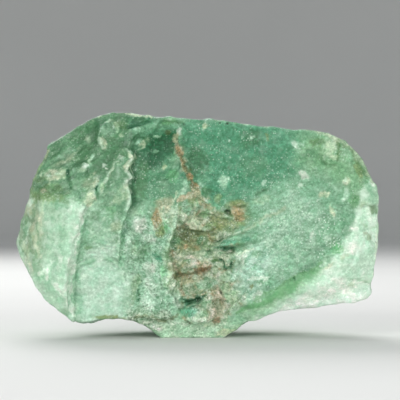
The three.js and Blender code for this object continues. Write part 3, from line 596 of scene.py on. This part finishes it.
    (15, 46.4, 5.4, 2, 8, "teal", 0.85), (18, 49.4, 6, 2.2, 22, "green", 0.85),
    # The first spot is a painted highlight on the fin.
    (15.3, 50.3, 1.2, 0.8, 20, "white", 1), (23, 48, 4, 1.6, 12, "sea", 0.7),
    (15, 3.6, 8, 2.4, 22, "straw", 0.8), (20, 9, 7, 4, 24, "dew", 0.8),
    (-4.8, 7.8, 0.8, 0.7, 0, "umber", 0.9), (-6.6, 9.8, 1.6, 0.7, -50, "tan", 0.7),
    # Pale lower right
    # The first spot is painted light that lifts the lower band where it curves down into shade.
    (56, 21, 6, 4, 20, "white", 0.8), (75.8, 44, 3.4, 4, 10, "white", 1),
    (75.2, 53, 3.6, 2, -35, "white", 1), (80.8, 54, 3, 2.6, 0, "dew", 0.8),
    (69, 25.4, 14, 6, 10, "white", 0.8), (44, 17.4, 4, 1.6, 10, "white", 0.6),
    (75, 26.6, 2.2, 1.3, 0, "dust", 0.5), (80.6, 66.4, 3, 2, 50, "celadon", 0.7),
    (85.6, 63.2, 3, 3, -10, "lichen", 0.85), (84.8, 75, 1.6, 1.6, 0, "white", 0.9),
    (82.6, 50, 2.4, 2.4, 0, "dust", 0.7), (71, 40, 3, 1.4, 35, "cream", 0.7),
    (63, 35.6, 5, 1, 38, "cream", 0.6),
]

# Strokes of colour: line, width, colour, how strong it is.
STROKES = [
    # The stain that runs down the crack into the hollow
    ([(-10.8, 99), (-10, 95), (-8.2, 91)], 1.8, "tan", 0.8),
    ([(-9, 92.4), (-7.4, 87), (-6.2, 83)], 3, "tan", 0.6),
    ([(-9.4, 92), (-8, 87), (-6.8, 84)], 1.6, "clay", 0.7),
    ([(-6.4, 84.4), (-3.6, 79.4)], 2.4, "mud", 0.85),
    ([(-3.8, 80), (-2, 77), (-0.4, 73.6)], 2, "rust", 0.75),
    ([(-4.8, 79.4), (-2.8, 76.2), (-1.6, 74)], 0.9, "mud", 0.7),
    ([(-1.6, 72), (1.4, 67.8), (6.4, 63.8)], 3, "tan", 0.9),
    ([(0, 71.4), (-5, 69.2), (-9, 68)], 2.6, "tan", 0.85),
    ([(-2.2, 60), (-1.6, 63), (-1.8, 66.4)], 1.2, "cream", 0.8),
    # Veins and cracks of the left plate and the strips
    ([(-70, 27.8), (-66, 23.4), (-61.3, 18.1), (-60.4, 10.7)], 1.4, "white", 0.7),
    # Along the left ledge: a darker band of painted shade on its lower side, then a white band of painted
    # light on its rounded edge, which lies in shade.
    ([(-57.4, 6), (-57.8, 21), (-58, 31), (-56.2, 43), (-54.2, 54.5)], 2.4, "jade", 0.35),
    ([(-62.4, 20), (-61.6, 33), (-60, 43), (-58, 54)], 2.4, "white", 0.5),
    ([(-84.4, 47), (-83, 40), (-81, 32)], 1.7, "cream", 0.6),
    ([(-79, 56), (-78.6, 48), (-77, 40)], 1.4, "cream", 0.6),
    ([(-75, 66), (-76, 58), (-76, 50)], 1.4, "cream", 0.5),
    ([(-76, 42), (-73, 32), (-69, 20)], 1.6, "dew", 0.5),
    ([(-68, 58), (-67.6, 46), (-66, 36)], 1.6, "pale", 0.5),
    ([(-76.6, 31.7), (-73.6, 34), (-71.3, 37)], 1.3, "white", 0.6),
    ([(-73.6, 34), (-72.6, 30.6)], 1.1, "white", 0.7),
    ([(-57, 30), (-50, 36), (-44, 40)], 1.3, "pale", 0.5),
    ([(-15.6, 62), (-12.4, 67), (-11, 71)], 1, "cream", 0.7),
    ([(-18, 63), (-15, 68)], 1, "cream", 0.6),
    ([(-44.6, 106.4), (-41.6, 107.4), (-39.4, 105), (-39.8, 101.6)], 1, "celadon", 0.7),
    ([(-68, 86), (-63, 88.4), (-59, 91.4)], 0.9, "dust", 0.6),
    ([(-66, 83.4), (-61.6, 85.4), (-58.4, 88)], 0.8, "sage", 0.6),
    # Dark and light lines beside ledges and in the hollow, among them painted shadow and a painted highlight
    # The next two lines are painted shadow, under a step and in a crack.
    ([(-63, 80), (-61, 73.4), (-58, 70.6)], 1.4, "shade", 0.4),
    ([(-32, 103.6), (-26.7, 105), (-22.8, 106.8)], 0.9, "pool", 0.85),
    ([(-30, 101.4), (-25, 103.2), (-21, 104.4)], 2, "jade", 0.8),
    # Painted shadow beside a step.
    ([(-28.8, 26), (-29, 23), (-28.8, 18)], 1, "shade", 0.7),
    ([(-30, 11), (-22, 10.5), (-18, 9), (-10, 11)], 1.2, "mud", 0.5),
    ([(-8, 53.6), (-3, 52), (4, 51.4), (8, 53)], 2.2, "mud", 0.65),
    ([(-11, 31.4), (-3, 31), (3, 33), (5.4, 34.2)], 2, "earth", 0.65),
    ([(-8, 18.4), (-4, 17), (0, 19), (4, 21)], 2, "deep", 0.6),
    ([(10.4, 38.6), (12.4, 36.4), (14, 34), (17, 36)], 1, "pool", 0.85),
    ([(9, 44), (14, 43), (19.4, 43.4)], 1, "sea", 0.5),
    # Painted highlight along the top of the fin.
    ([(12.6, 49.4), (16, 50.6), (20, 52.4)], 0.9, "ivory", 0.9),
    ([(18.4, 40.6), (22, 42), (26, 43.8)], 1, "ivory", 0.9),
    ([(22, 35.6), (23.8, 38.4), (26.6, 41)], 0.8, "jade", 0.7),
    ([(19.6, 36), (21.8, 39.4), (24.6, 42)], 1.3, "pale", 0.9),
    ([(26, 34), (28.4, 36), (31, 38)], 0.9, "green", 0.7),
    ([(18, 29), (20, 33), (21.6, 36)], 1.2, "rime", 0.8),
    ([(24, 27.4), (29, 27), (34, 28.6)], 0.8, "leaf", 0.7),
    # Lines of the pale lower right and of the rims, among them painted highlights along the outline
    ([(73, 29.6), (79, 28.4), (85.6, 27.4)], 0.9, "sage", 0.5),
    ([(68.2, 96.4), (69.2, 92), (67.8, 87.7)], 1, "moss", 0.8),
    ([(88, 54.6), (82.4, 54.8), (78.4, 57.8)], 0.9, "celadon", 0.5),
    ([(27, 18.4), (40.6, 26.6), (48.5, 30.6), (56.3, 33.6), (59.8, 37)], 0.9, "grass", 0.7),
    ([(61, 36), (61.4, 40), (71.6, 45.4)], 1.2, "ivory", 0.4),
    ([(60, 101.6), (66, 99.6), (71.5, 96.4), (77, 91.4), (81, 86.4), (84, 80.6), (87, 76)], 3.4,
     "dust", 0.8),
    ([(70, 94.4), (75, 90), (79, 85), (82, 79)], 1.2, "moss", 0.5),
    # Painted highlight along the lower left outline.
    ([(-88, 46), (-84, 36.6), (-79, 27), (-73, 20)], 1.5, "rime", 0.6),
    ([(-81, 73), (-77.6, 84), (-73, 92)], 1.3, "tan", 0.5),
    # Painted highlight along the right outline.
    ([(88.2, 74), (88.6, 64), (88.4, 52), (87.4, 40), (86, 30)], 1.5, "ivory", 0.7),
    # Painted highlight along the top outline.
    ([(-34.5, 110.2), (-29, 110), (-22.6, 107.6)], 1.1, "cream", 0.85),
    ([(9, 107.4), (28, 105.4), (43, 104), (53, 102.8), (63, 100.8)], 1.4, "dust", 0.6),
    ([(22, 52), (29, 56.4), (37, 60), (43, 64)], 1.4, "dust", 0.6),
]


# ---- The stone's surface -------------------------------------------------------------------------


def even_mesh(node):
    """A copy of the solid as an even net of small facets, half as big on the broad face."""
    stone = bpy.data.objects.new("stone_surface", node.data.copy())
    bpy.context.scene.collection.objects.link(stone)
    net = bmesh.new()
    net.from_mesh(stone.data)
    bmesh.ops.remove_doubles(net, verts=net.verts, dist=0.01 * MM)
    surface = BVHTree.FromBMesh(net)
    net.to_mesh(stone.data)
    net.free()
    remesh = stone.modifiers.new("Remesh", "REMESH")
    remesh.mode = "VOXEL"
    remesh.voxel_size = FACET * MM
    shape = bpy.data.meshes.new_from_object(stone.evaluated_get(bpy.context.evaluated_depsgraph_get()))
    stone.modifiers.clear()
    stone.data = shape
    net = bmesh.new()
    net.from_mesh(shape)
    deepest = (FRONT + FACE_DEPTH) * MM
    broad = [f for f in net.faces if f.normal.y < -0.12 and f.calc_center_median().y < deepest]
    edges = list({e for f in broad for e in f.edges})
    bmesh.ops.subdivide_edges(net, edges=edges, cuts=1, use_grid_fill=True)
    bmesh.ops.triangulate(net, faces=net.faces)
    for vertex in net.verts:
        vertex.co = surface.find_nearest(vertex.co)[0]
    net.to_mesh(shape)
    net.free()
    return stone


def read(items, name, width, kind=float):
    """A value of every item of a mesh, in rows of that width."""
    values = np.empty(len(items) * width, kind)
    items.foreach_get(name, values)
    return values.reshape(-1, width)


def neighbour_mean(values, edges, rounds=1):
    """The average of every point's neighbours, as often as rounds says."""
    count = np.bincount(edges.ravel(), minlength=len(values))
    ends = [(edges[:, 0], edges[:, 1]), (edges[:, 1], edges[:, 0])]
    for _ in range(rounds):
        columns = values.reshape(len(values), -1).T
        total = [sum(np.bincount(a, column[b], len(values)) for a, b in ends) for column in columns]
        values = (np.array(total) / count).T.reshape(values.shape)
    return values


def normals_of(points, triangles):
    """The direction that the surface faces at every point."""
    a, b, c = points[triangles].transpose(1, 0, 2)
    flat = np.cross(b - a, c - a)
    total = np.zeros_like(points)
    for corner in range(3):
        for axis in range(3):
            total[:, axis] += np.bincount(triangles[:, corner], flat[:, axis], len(points))
    return total / np.maximum(np.linalg.norm(total, axis=1, keepdims=True), 1e-9)


def ease(points, triangles, edges):
    """Smooths the flat stretches and leaves ledges and sharp edges as they are."""
    rounds, look_again = 24, 8
    for k in range(rounds):
        if k % look_again == 0:
            broad = neighbour_mean(normals_of(points, triangles), edges, 4)
            flat = 1 - smooth(0.012, 0.07, 1 - np.linalg.norm(broad, axis=1))
        points = points + 0.5 * (0.12 + 0.88 * flat[:, None]) * (neighbour_mean(points, edges) - points)
    return points


def broad_face(points, normals):
    """1 where a point belongs to the broad face, 0 on the other sides."""
    ragged = 4 * noise(points / 9, 41)
    near = 1 - smooth(FACE_DEPTH - 6, FACE_DEPTH + 6, points[:, 1] - FRONT + ragged)
    return near * smooth(-0.1, 0.35, -normals[:, 1] + 0.03 * ragged)


def stripes(x, z, turn, length, width, seed):
    """Noise drawn out in one direction on the broad face."""
    a = math.radians(turn)
    along = x * math.cos(a) + z * math.sin(a)
    across = z * math.cos(a) - x * math.sin(a)
    return noise(np.stack([along / length, across / width, np.full(len(x), 0.5)], 1), seed)


def ripples(points):
    """Low waves, -1 to 1, in uneven arcs over the upper part of the rippled area."""
    wavelength = 2.1
    x, _, z = points.T
    radius = np.hypot(x - RIPPLE_CENTRE[0], z - RIPPLE_CENTRE[1])
    strength = smooth(10, 15, radius) * smooth(0, 8, z - RIPPLE_CENTRE[1])
    wave = np.sin((radius + 1.2 * fractal(points, 7, 2, 12)) * 2 * math.pi / wavelength)
    broken = smooth(-0.6, 0.2, fractal(points, 6, 1, 13))
    return wave * (0.25 * smooth(0, 12, radius) + 0.75 * strength) * broken


def relief(points, face):
    """How far every point stands out from the solid, in millimetres."""
    x, y, z = points.T

    def within(outline, soft=2):
        return face * area(outline, x, z, soft)

    shell, foot = within(SHELL, 3), within(RIPPLES, 3)
    hollow, crumbly, strip = within(HOLLOW), within(CRUMBLY), within(STRIP)
    upper, plate, pale = within(UPPER_LEFT), within(LEFT_PLATE), within(LOWER_RIGHT)
    hidden = (1 - face) * (0.4 + 0.6 * smooth(14, 34, y - FRONT))
    rough = (1 + 0.8 * hollow + 0.4 * crumbly + 0.5 * hidden
             - 0.6 * shell - 0.45 * plate - 0.4 * foot - 0.2 * pale)
    out = rough * (0.42 * fractal(points, 13, 2, 1) + 0.24 * fractal(points, 5, 3, 5))

    warped = points + 1.6 * wander(points, 7, 2, 60)
    for height, size, seed in ((1.2, 17, 3), (0.6, 7, 4)):
        out += hidden * height * (pebbles(warped, size, seed) ** 2 - 0.3)
    beds = (0.35 * x + y - 0.5 * z) / 12 + 0.8 * fractal(points, 22, 3, 30)
    out += hidden * 0.8 * ((beds % 1) ** 2 - 0.3)
    out -= hollow * 1.3 * (pebbles(warped, 5.2, 6) - 0.45)
    crumbs = 0.5 * hollow + 0.55 * crumbly + 0.2 * pale + 0.12 * upper
    out -= crumbs * (pebbles(points, 2.3, 7) - 0.45)

    out += foot * 0.15 * ripples(points)
    out += 0.3 * plate * stripes(x, z, 84, 13, 3.2, 14)
    out += 0.3 * (upper + 0.7 * strip) * stripes(x, z, 36, 12, 1.9, 15)
    bedding = (x - 0.8 * z) / 6.5 + 0.5 * fractal(points, 14, 2, 16)
    out += 0.5 * (upper + 0.5 * strip) * ((bedding % 1) - 0.5)
    out += (0.1 * shell + 0.3 * (shell * spot(FEATHER, x, z))) * stripes(x, z, 33, 11, 1.3, 17)

    bent = 0.5 * fractal(points, 4, 2, 22)
    for line, height, reach in STEPS:
        out += face * height * step(line, reach, x + bent, z - bent)
    for *oval, height in BUMPS:
        out += face * height * spot(oval, x + bent, z - bent)
    for line, width, depth in CRACKS:
        out -= face * depth * streak(line, width, x + bent, z - bent)
    return out


def hollows_and_ridges(points, normals, edges):
    """How deep every point lies in a small hollow, and how far out on a crest, each from 0 to 1, as masks
    for painted shade and highlights.
    """
    bulge = ((points - neighbour_mean(points, edges, 2)) * normals).sum(1)
    wide_bulge = ((points - neighbour_mean(points, edges, 12)) * normals).sum(1)
    bulge = neighbour_mean(bulge, edges, 2) + 0.25 * wide_bulge
    return smooth(0.12, 0.7, -bulge), smooth(0.12, 0.6, bulge)


# ---- Its colours ---------------------------------------------------------------------------------


def mix(colours, colour, share):
    """Colours with a share of another one, which is a name in COLOURS or the colour itself."""
    other = np.array(COLOURS[colour] if isinstance(colour, str) else colour, float)
    return colours + (other - colours) * share[:, None]


def zones(x, z):
    """The colours of the stone's main zones."""
    colours = np.tile(np.array(COLOURS["sage"], float), (len(x), 1))
    for outline, soft, colour, amount in AREAS:
        colours = mix(colours, colour, amount * area(outline, x, z, soft))
    return colours


def body_colours(points, hollow, worn_edge_and_highlight):
    """The other sides: the broad face's zones run on into the stone and give way to cloudy greens, with
    painted shade and highlights.
    """
    bent = points + 3 * wander(points, 16, 2, 70)
    beds = bent @ np.array([[0.05, 0.01, 0.02], [0.0, 0.04, -0.03], [-0.05, 0.07, 0.14]]).T
    bedded = fractal(beds, 1, 3, 71)
    behind = points[:, 1] - FRONT + 12 * noise(points / 22, 44)
    colours = mix(zones(bent[:, 0], bent[:, 2]), (144, 188, 152), smooth(14, 62, behind))
    for colour, amount, low, high, cloud in (
        ("mint", 0.8, 0.05, 0.75, bedded),
        ("pale", 0.8, 0.35, 0.9, fractal(bent, 30, 2, 73)),
        ("sea", 0.55, 0.1, 0.8, -bedded),
        ("vivid", 0.35, 0.25, 0.6, fractal(bent, 15, 3, 76)),
        ("olive", 0.5, 0.2, 0.7, fractal(points, 24, 3, 79)),
        ("brown", 0.45, 0.5, 0.9, fractal(bent, 20, 3, 82)),
    ):
        colours = mix(colours, colour, amount * smooth(low, high, cloud))
    vein = 1 - smooth(0, 0.04, np.abs(fractal(bent, 34, 2, 85)))
    colours = mix(colours, "pale", 0.5 * vein * smooth(0.2, 0.5, fractal(points, 12, 2, 87)))
    # Painted shade in small hollows, partly the deeper green of cracks, and a painted highlight on ridges,
    # partly paler worn edges.
    colours = mix(colours, "deep", 0.5 * hollow)
    return mix(colours, "pale", 0.4 * worn_edge_and_highlight)


def mottled(colours, points, bent, stained, pale):
    """The broad face's blotches, stains and flakes, which leave its areas uneven."""
    x, _, z = bent.T
    soft = area(LEFT_PLATE, x, z, 2) + pale
    blotch = fractal(bent, 5.5, 3, 108)
    colours = mix(colours, (224, 244, 224), 0.55 * soft * smooth(0.2, 0.65, blotch))
    colours = mix(colours, (148, 196, 160), 0.25 * (soft - 0.6 * pale) * smooth(0.2, 0.8, -blotch))
    for size, seed, colour, amount in STAIN_MOTTLE:
        cloud = smooth(0.15, 0.65, fractal(points, size, 3, seed))
        colours = mix(colours, colour, amount * stained * cloud)
    flaky = area(UPPER_LEFT, x, z, 2) + 0.6 * area(STRIP, x, z, 2)
    flake = stripes(x, z, 40, 9, 3.2, 105) + 0.35 * fractal(points, 3, 2, 106)
    colours = mix(colours, (64, 122, 78), 0.4 * flaky * smooth(0.05, 0.6, flake))
    edge = (1 - smooth(0, 0.12, np.abs(flake + 0.2))) * smooth(-0.1, 0.4, fractal(points, 8, 2, 107))
    return mix(colours, "cream", 0.62 * flaky * edge)


def marked(colours, points, x, z):
    """The broad face's ledges with their painted highlights and shade, spots and strokes, with ragged
    borders.
    """
    rough = fractal(points, 2.2, 2, 93)
    ragged = 1 + 0.75 * rough
    for line, left, right in LEDGE_HIGHLIGHT_AND_SHADE:
        distance, side = line_distance(line, x, z)
        for (colour, width, amount), way in ((left, 1), (right, -1)):
            share = (side == way) * (1 - smooth(0.1 * width, width, distance))
            colours = mix(colours, colour, amount * smooth(0.1, 0.8, share * (1 + 0.4 * rough)))
    for *oval, colour, amount in SPOTS:
        colours = mix(colours, colour, amount * smooth(0.05, 0.85, spot(oval, x, z) * ragged))
    for line, width, colour, amount in STROKES:
        colours = mix(colours, colour, amount * smooth(0.15, 0.85, streak(line, width, x, z) * ragged))
    return colours


def grain_tone(points):
    """The broad face's light and dark streaks, which follow how each area broke."""
    x, _, z = points.T
    tone = 1
    for outline, soft, amount, drawn in GRAIN:
        tone = tone + amount * area(outline, x, z, soft) * stripes(x, z, *drawn)
    return tone + 0.07 * area(RIPPLES, x, z, 3) * ripples(points)


def face_colours(points, hollow, worn_edge_and_highlight):
    """The broad face's own areas, ledges, stains and spots, with painted shade and highlights."""
    x, _, z = points.T
    stained = np.maximum(area(HOLLOW, x, z, 3), streak(STAINED_CRACK, 4.5, x, z))
    bent = points + 1.2 * wander(points, 7, 2, 90) + 0.8 * wander(points, 2.2, 2, 97)
    bent += stained[:, None] * 1.1 * wander(points, 4.5, 2, 94)
    x, _, z = bent.T
    pale = area(LOWER_RIGHT, x, z, 2)
    colours = mottled(zones(x, z), points, bent, stained, pale)
    colours = marked(colours, points, x, z) * grain_tone(points)[:, None]
    # Painted shade: small hollows go towards a deep green, partly the stone's deeper colour in its cracks;
    # the umber is the stain in the stained hollow; ridges get a painted highlight, partly paler worn edges.
    colours = mix(colours, "deep", 0.62 * (1 - 0.8 * stained) * (1 - 0.8 * pale) * hollow)
    colours = mix(colours, "umber", 0.2 * stained * hollow)
    return mix(colours, "pale", (0.55 - 0.2 * stained) * worn_edge_and_highlight)


def traits(points, face):
    """Four shares for the surface's fine looks: white painted glints, dark crumbs, pale frost, coarse grain.
    """
    bent = points + 1.3 * wander(points, 7, 2, 90)
    x, _, z = bent.T
    cloud = smooth(-0.3, 0.6, fractal(points, 11, 3, 101))
    shares = np.stack([0.3 + 0.3 * cloud, 0.12 * cloud, 0.2 + 0.3 * cloud, 0.7 + 0.4 * cloud], 1)
    for outline, values in TRAITS:
        shares += (np.array(values) - shares) * (face * area(outline, x, z, 3))[:, None]
    shares[:, 0] *= 1 + 0.6 * face * stripes(x, z, 36, 16, 3.5, 102)
    return shares


def paint(mesh, name, values):
    """Keeps four values for every point of a mesh."""
    mesh.color_attributes.new(name, "FLOAT_COLOR", "POINT").data.foreach_set("color", values.ravel())


def build_stone():
    """The stone as it is seen: the solid's surface with its fine relief and its colours."""
    stone = even_mesh(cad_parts[NODE])
    mesh = stone.data
    points = read(mesh.vertices, "co", 3) / MM
    triangles = read(mesh.loops, "vertex_index", 1, int).reshape(-1, 3)
    edges = read(mesh.edges, "vertices", 2, int)

    loose = smooth(FOOT_HEIGHT, FOOT_HEIGHT + 5, points[:, 2])
    points += loose[:, None] * (ease(points, triangles, edges) - points)
    points += loose[:, None] * 0.6 * wander(points, 8, 2, 50)
    normals = normals_of(points, triangles)
    face = broad_face(points, normals)
    outwards = normals + face[:, None] * np.array([0, -1.2, 0])
    outwards /= np.linalg.norm(outwards, axis=1, keepdims=True)
    points += (loose * relief(points, face))[:, None] * outwards
    points[:, 2] = np.maximum(points[:, 2], 0)

    # The two masks carry painted shade into small hollows and painted highlights onto ridges.
    hollow, worn_edge_and_highlight = hollows_and_ridges(points, normals, edges)
    colours = body_colours(points, hollow, worn_edge_and_highlight)
    colours += face[:, None] * (face_colours(points, hollow, worn_edge_and_highlight) - colours)
    mesh.vertices.foreach_set("co", (points * MM).ravel())
    paint(mesh, "tint", np.hstack([linear(*colours.T).T, np.ones((len(points), 1))]))
    paint(mesh, "traits", traits(points, face))
    mesh.shade_smooth()
    mesh.update()
    return stone


# ---- Material ------------------------------------------------------------------------------------

# Colours in linear light. The first two multiply the stone's own.
CLOUD_DARK, CLOUD_LIGHT = (0.86, 0.98, 0.92, 1), (1.08, 1.02, 1.04, 1)
FROST_COLOUR = (0.68, 0.85, 0.70, 1)
CRUMB_COLOUR = (0.05, 0.09, 0.04, 1)
PAINTED_GLINT_COLOUR = (0.74, 0.88, 0.74, 1)


class Tree:
    """Short calls to build a material's nodes."""

    def __init__(self, name):
        self.material = bpy.data.materials.new(name)
        self.material.use_nodes = True
        self.nodes = self.material.node_tree.nodes

    def put(self, socket, value):
        """Links a value to a socket if it is another node's output, or sets it there."""
        if isinstance(value, bpy.types.NodeSocket):
            self.material.node_tree.links.new(value, socket)
        else:
            socket.default_value = value

    def node(self, kind, inputs=(), **settings):
        made = self.nodes.new(kind)
        for key, value in settings.items():
            setattr(made, key, value)
        for key, value in dict(inputs).items():
            self.put(made.inputs[key], value)
        return made

    def shade(self, inputs):
        """Sets the shader's inputs."""
        for key, value in inputs.items():
            self.put(self.nodes["Principled BSDF"].inputs[key], value)

    def maths(self, operation, a, b):
        return self.node("ShaderNodeMath", {0: a, 1: b}, operation=operation).outputs[0]

    def plus(self, a, b):
        return self.maths("ADD", a, b)

    def minus(self, a, b):
        return self.maths("SUBTRACT", a, b)

    def times(self, a, b):
        return self.maths("MULTIPLY", a, b)

    def vector(self, operation, a, b, output="Vector"):
        return self.node("ShaderNodeVectorMath", {0: a, 1: b}, operation=operation).outputs[output]

    def spread(self, value, low, high, to_low=0.0, to_high=1.0):
        """The value's range from low to high, stretched smoothly to another range."""
        inputs = {0: value, 1: low, 2: high, 3: to_low, 4: to_high}
        return self.node("ShaderNodeMapRange", inputs, interpolation_type="SMOOTHSTEP").outputs[0]

    def blend(self, share, a, b, how="MIX"):
        """Two colours mixed."""
        inputs = {0: share, 6: a, 7: b}
        return self.node("ShaderNodeMix", inputs, data_type="RGBA", blend_type=how).outputs[2]

    def channels(self, colour):
        """A colour's red, green and blue."""
        return self.node("ShaderNodeSeparateColor", {0: colour}).outputs

    def noise(self, place, size, detail=3.0, roughness=0.6):
        inputs = {"Vector": place, "Scale": 1 / size, "Detail": detail, "Roughness": roughness}
        return self.node("ShaderNodeTexNoise", inputs).outputs[0]

    def grains(self, place, size):
        """Scattered grains: the distance from the nearest one's middle, its own colour, and its middle."""
        made = self.node("ShaderNodeTexVoronoi", {"Vector": place, "Scale": 1 / size}).outputs
        return made["Distance"], made["Color"], made["Position"]


def mottling(tree, place, fine, chance, coarse):
    """Light and dark grain at several sizes, as a factor for each of red, green and blue."""
    mottle = tree.times(tree.minus(fine, 0.5), 1.4)
    mottle = tree.plus(mottle, tree.times(tree.minus(chance, 0.5), 0.36))
    drawn_out = {0: place, 2: (0, math.radians(40), 0), 3: (0.45, 1.0, 1.25)}
    drawn_out = tree.node("ShaderNodeMapping", drawn_out).outputs[0]
    mottle = tree.plus(mottle, tree.minus(tree.noise(drawn_out, 3.1), 0.5))
    mottle = tree.maths("MAXIMUM", tree.times(mottle, 1.25), tree.times(mottle, 0.7))
    mottle = tree.maths("MINIMUM", tree.times(mottle, coarse), 0.5)
    shades = [tree.plus(tree.times(mottle, share), 0.9) for share in (1.35, 1.0, 1.25)]
    shades = {k: tree.maths("MAXIMUM", shade, 0.2) for k, shade in enumerate(shades)}
    return tree.node("ShaderNodeCombineXYZ", shades).outputs[0]


def glints(tree, place, distance, chance, painted_glint_share):
    """How white the painted glints are: they come in swarms, of single grains and of larger crystals."""
    swarm = tree.spread(tree.noise(place, 8), 0.36, 0.62, 0.1, 1.0)
    single = tree.times(tree.spread(chance, 0.55, 1.0, 0.0, 0.8), tree.spread(distance, 0.65, 0.15))
    distance, each, _ = tree.grains(place, 2.3)
    crystal = tree.channels(each)
    radius = tree.spread(crystal[0], 0.4, 1.0, 0.02, 0.26)
    large = tree.spread(tree.maths("DIVIDE", distance, radius), 1.3, 0.5)
    large = tree.times(large, tree.spread(crystal[1], 0.0, 1.0, 0.0, 0.65))
    return tree.times(tree.times(tree.maths("MAXIMUM", single, large), swarm), painted_glint_share)


def facets(tree, place, each, middle):
    """The height of the tilted facet that each grain has."""
    tilt = tree.vector("ADD", each, (-0.5, -0.5, -0.5))
    return tree.vector("DOT_PRODUCT", tilt, tree.vector("SUBTRACT", place, middle), "Value")


def stone_material():
    """Sugary green quartz: mottled at several sizes, with pale frost, dark crumbs and white painted glints
    in its colour.
    """
    tree = Tree("aventurine_rough")
    place = tree.node("ShaderNodeTexCoord").outputs["Object"]
    place = tree.vector("MULTIPLY", place, (1 / MM,) * 3)
    tint = tree.node("ShaderNodeAttribute", attribute_name="tint").outputs["Color"]
    kept = tree.node("ShaderNodeAttribute", attribute_name="traits").outputs
    painted_glint_share, crumbs, frost = tree.channels(kept["Color"])
    coarse = kept["Alpha"]

    fine = tree.noise(place, 1.5, 5, 0.7)
    cloud = tree.noise(place, 5.5, 4, 0.65)
    distance, each, middle = tree.grains(place, 0.85)
    chance = tree.channels(each)
    clouds = tree.blend(tree.spread(cloud, 0.38, 0.62), CLOUD_DARK, CLOUD_LIGHT)
    colour = tree.blend(1.0, tint, clouds, "MULTIPLY")
    colour = tree.blend(1.0, colour, mottling(tree, place, fine, chance[0], coarse), "MULTIPLY")
    veil = tree.times(tree.spread(tree.noise(place, 4.6, 6, 0.62), 0.5, 0.68), frost)
    colour = tree.blend(tree.times(veil, 0.8), colour, FROST_COLOUR)
    crumb = tree.times(tree.spread(chance[1], 0.8, 0.92), tree.spread(cloud, 0.35, 0.6))
    colour = tree.blend(tree.times(tree.times(crumb, crumbs), 0.85), colour, CRUMB_COLOUR)
    # Painted glints: white specks in the base colour stand in for light glancing off mica and quartz grains.
    colour = tree.blend(glints(tree, place, distance, chance[2], painted_glint_share), colour, PAINTED_GLINT_COLOUR)

    rough = tree.times(tree.plus(tree.noise(place, 1.0, 4, 0.7), fine), 0.5)
    rough = tree.plus(rough, tree.times(facets(tree, place, each, middle), 0.7))
    rough = tree.times(rough, tree.spread(coarse, 0.4, 2.0, 0.5, 1.4))
    bump = tree.node("ShaderNodeBump", {"Strength": 0.6, "Distance": MM, "Height": rough})
    tree.shade({
        "Base Color": colour,
        "Roughness": tree.spread(fine, 0.3, 0.7, 0.62, 0.36),
        "Subsurface Weight": 0.1,
        "Subsurface Radius": (0.7, 1.0, 0.75),
        "Subsurface Scale": 2 * MM,
        "Normal": bump.outputs[0],
    })
    return tree.material


def plain_material(name, colour, roughness):
    """A matt studio surface, with a faint unevenness."""
    tree = Tree(name)
    place = tree.node("ShaderNodeTexCoord").outputs["Object"]
    cloud = tree.spread(tree.noise(place, 0.4, 2), 0.3, 0.7)
    darker = tuple(0.97 * c for c in colour)
    tree.shade({"Base Color": tree.blend(cloud, (*darker, 1), (*colour, 1)), "Roughness": roughness})
    return tree.material


# ---- Studio --------------------------------------------------------------------------------------


def studio_floor():
    """A round pale floor that curves up at its rim, far enough away to look past it from all sides."""
    sides, rises = 64, 8
    profile = [(0.6, 0), (FLOOR_RADIUS, 0)]
    for k in range(1, rises + 1):
        a = math.radians(90 * k / rises)
        profile.append((FLOOR_RADIUS + FLOOR_CURVE * math.sin(a), FLOOR_CURVE * (1 - math.cos(a))))
    profile.append((FLOOR_RADIUS + FLOOR_CURVE, FLOOR_RIM))
    corners = [(0, 0, 0)]
    for radius, z in profile:
        for k in range(sides):
            a = 2 * math.pi * k / sides
            corners.append((radius * math.cos(a), radius * math.sin(a), z))
    faces = [(0, 1 + k, 1 + (k + 1) % sides) for k in range(sides)]
    for ring in range(len(profile) - 1):
        inner, outer = 1 + ring * sides, 1 + (ring + 1) * sides
        for k in range(sides):
            ahead = (k + 1) % sides
            faces.append((inner + k, outer + k, outer + ahead, inner + ahead))
    mesh = bpy.data.meshes.new("studio_floor")
    mesh.from_pydata(corners, [], faces)
    mesh.shade_smooth()
    mesh.materials.append(plain_material("studio_paper", FLOOR_COLOUR, 0.9))
    floor = bpy.data.objects.new("studio_floor", mesh)
    bpy.context.scene.collection.objects.link(floor)


def studio_light(name, place, width, power):
    """A soft square light that faces the stone."""
    lamp = bpy.data.lights.new(name, "AREA")
    lamp.size = width
    lamp.energy = power
    light = bpy.data.objects.new(name, lamp)
    light.location = place
    light.rotation_euler = (Vector(LIT_PLACE) - Vector(place)).to_track_quat("-Z", "Y").to_euler()
    bpy.context.scene.collection.objects.link(light)


def studio_air():
    """The faint light from all around, and colours shown as they are."""
    world = bpy.data.worlds.new("studio")
    world.use_nodes = True
    background = world.node_tree.nodes["Background"].inputs
    background["Color"].default_value = AIR_COLOUR
    background["Strength"].default_value = AIR_STRENGTH
    bpy.context.scene.world = world
    bpy.context.scene.view_settings.view_transform = "Standard"


def camera():
    """Looks level at the broad face, as the stone is held up at eye height."""
    lens = bpy.data.cameras.new("camera")
    lens.sensor_width = SENSOR_WIDTH
    lens.lens = SENSOR_WIDTH * CAMERA_DISTANCE / PICTURE_WIDTH
    lens.clip_start = 0.01
    view = bpy.data.objects.new("camera", lens)
    y = (FRONT + OUTLINE_DEPTH) * MM - CAMERA_DISTANCE
    view.location = (AIM[0] * MM, y, AIM[1] * MM)
    view.rotation_euler = (math.radians(90), 0, 0)
    bpy.context.scene.collection.objects.link(view)
    bpy.context.scene.camera = view


stone = build_stone()
stone.data.materials.clear()
stone.data.materials.append(stone_material())
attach(stone, "root")
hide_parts(NODE)

studio_floor()
for light in LIGHTS:
    studio_light(*light)
studio_air()
camera()
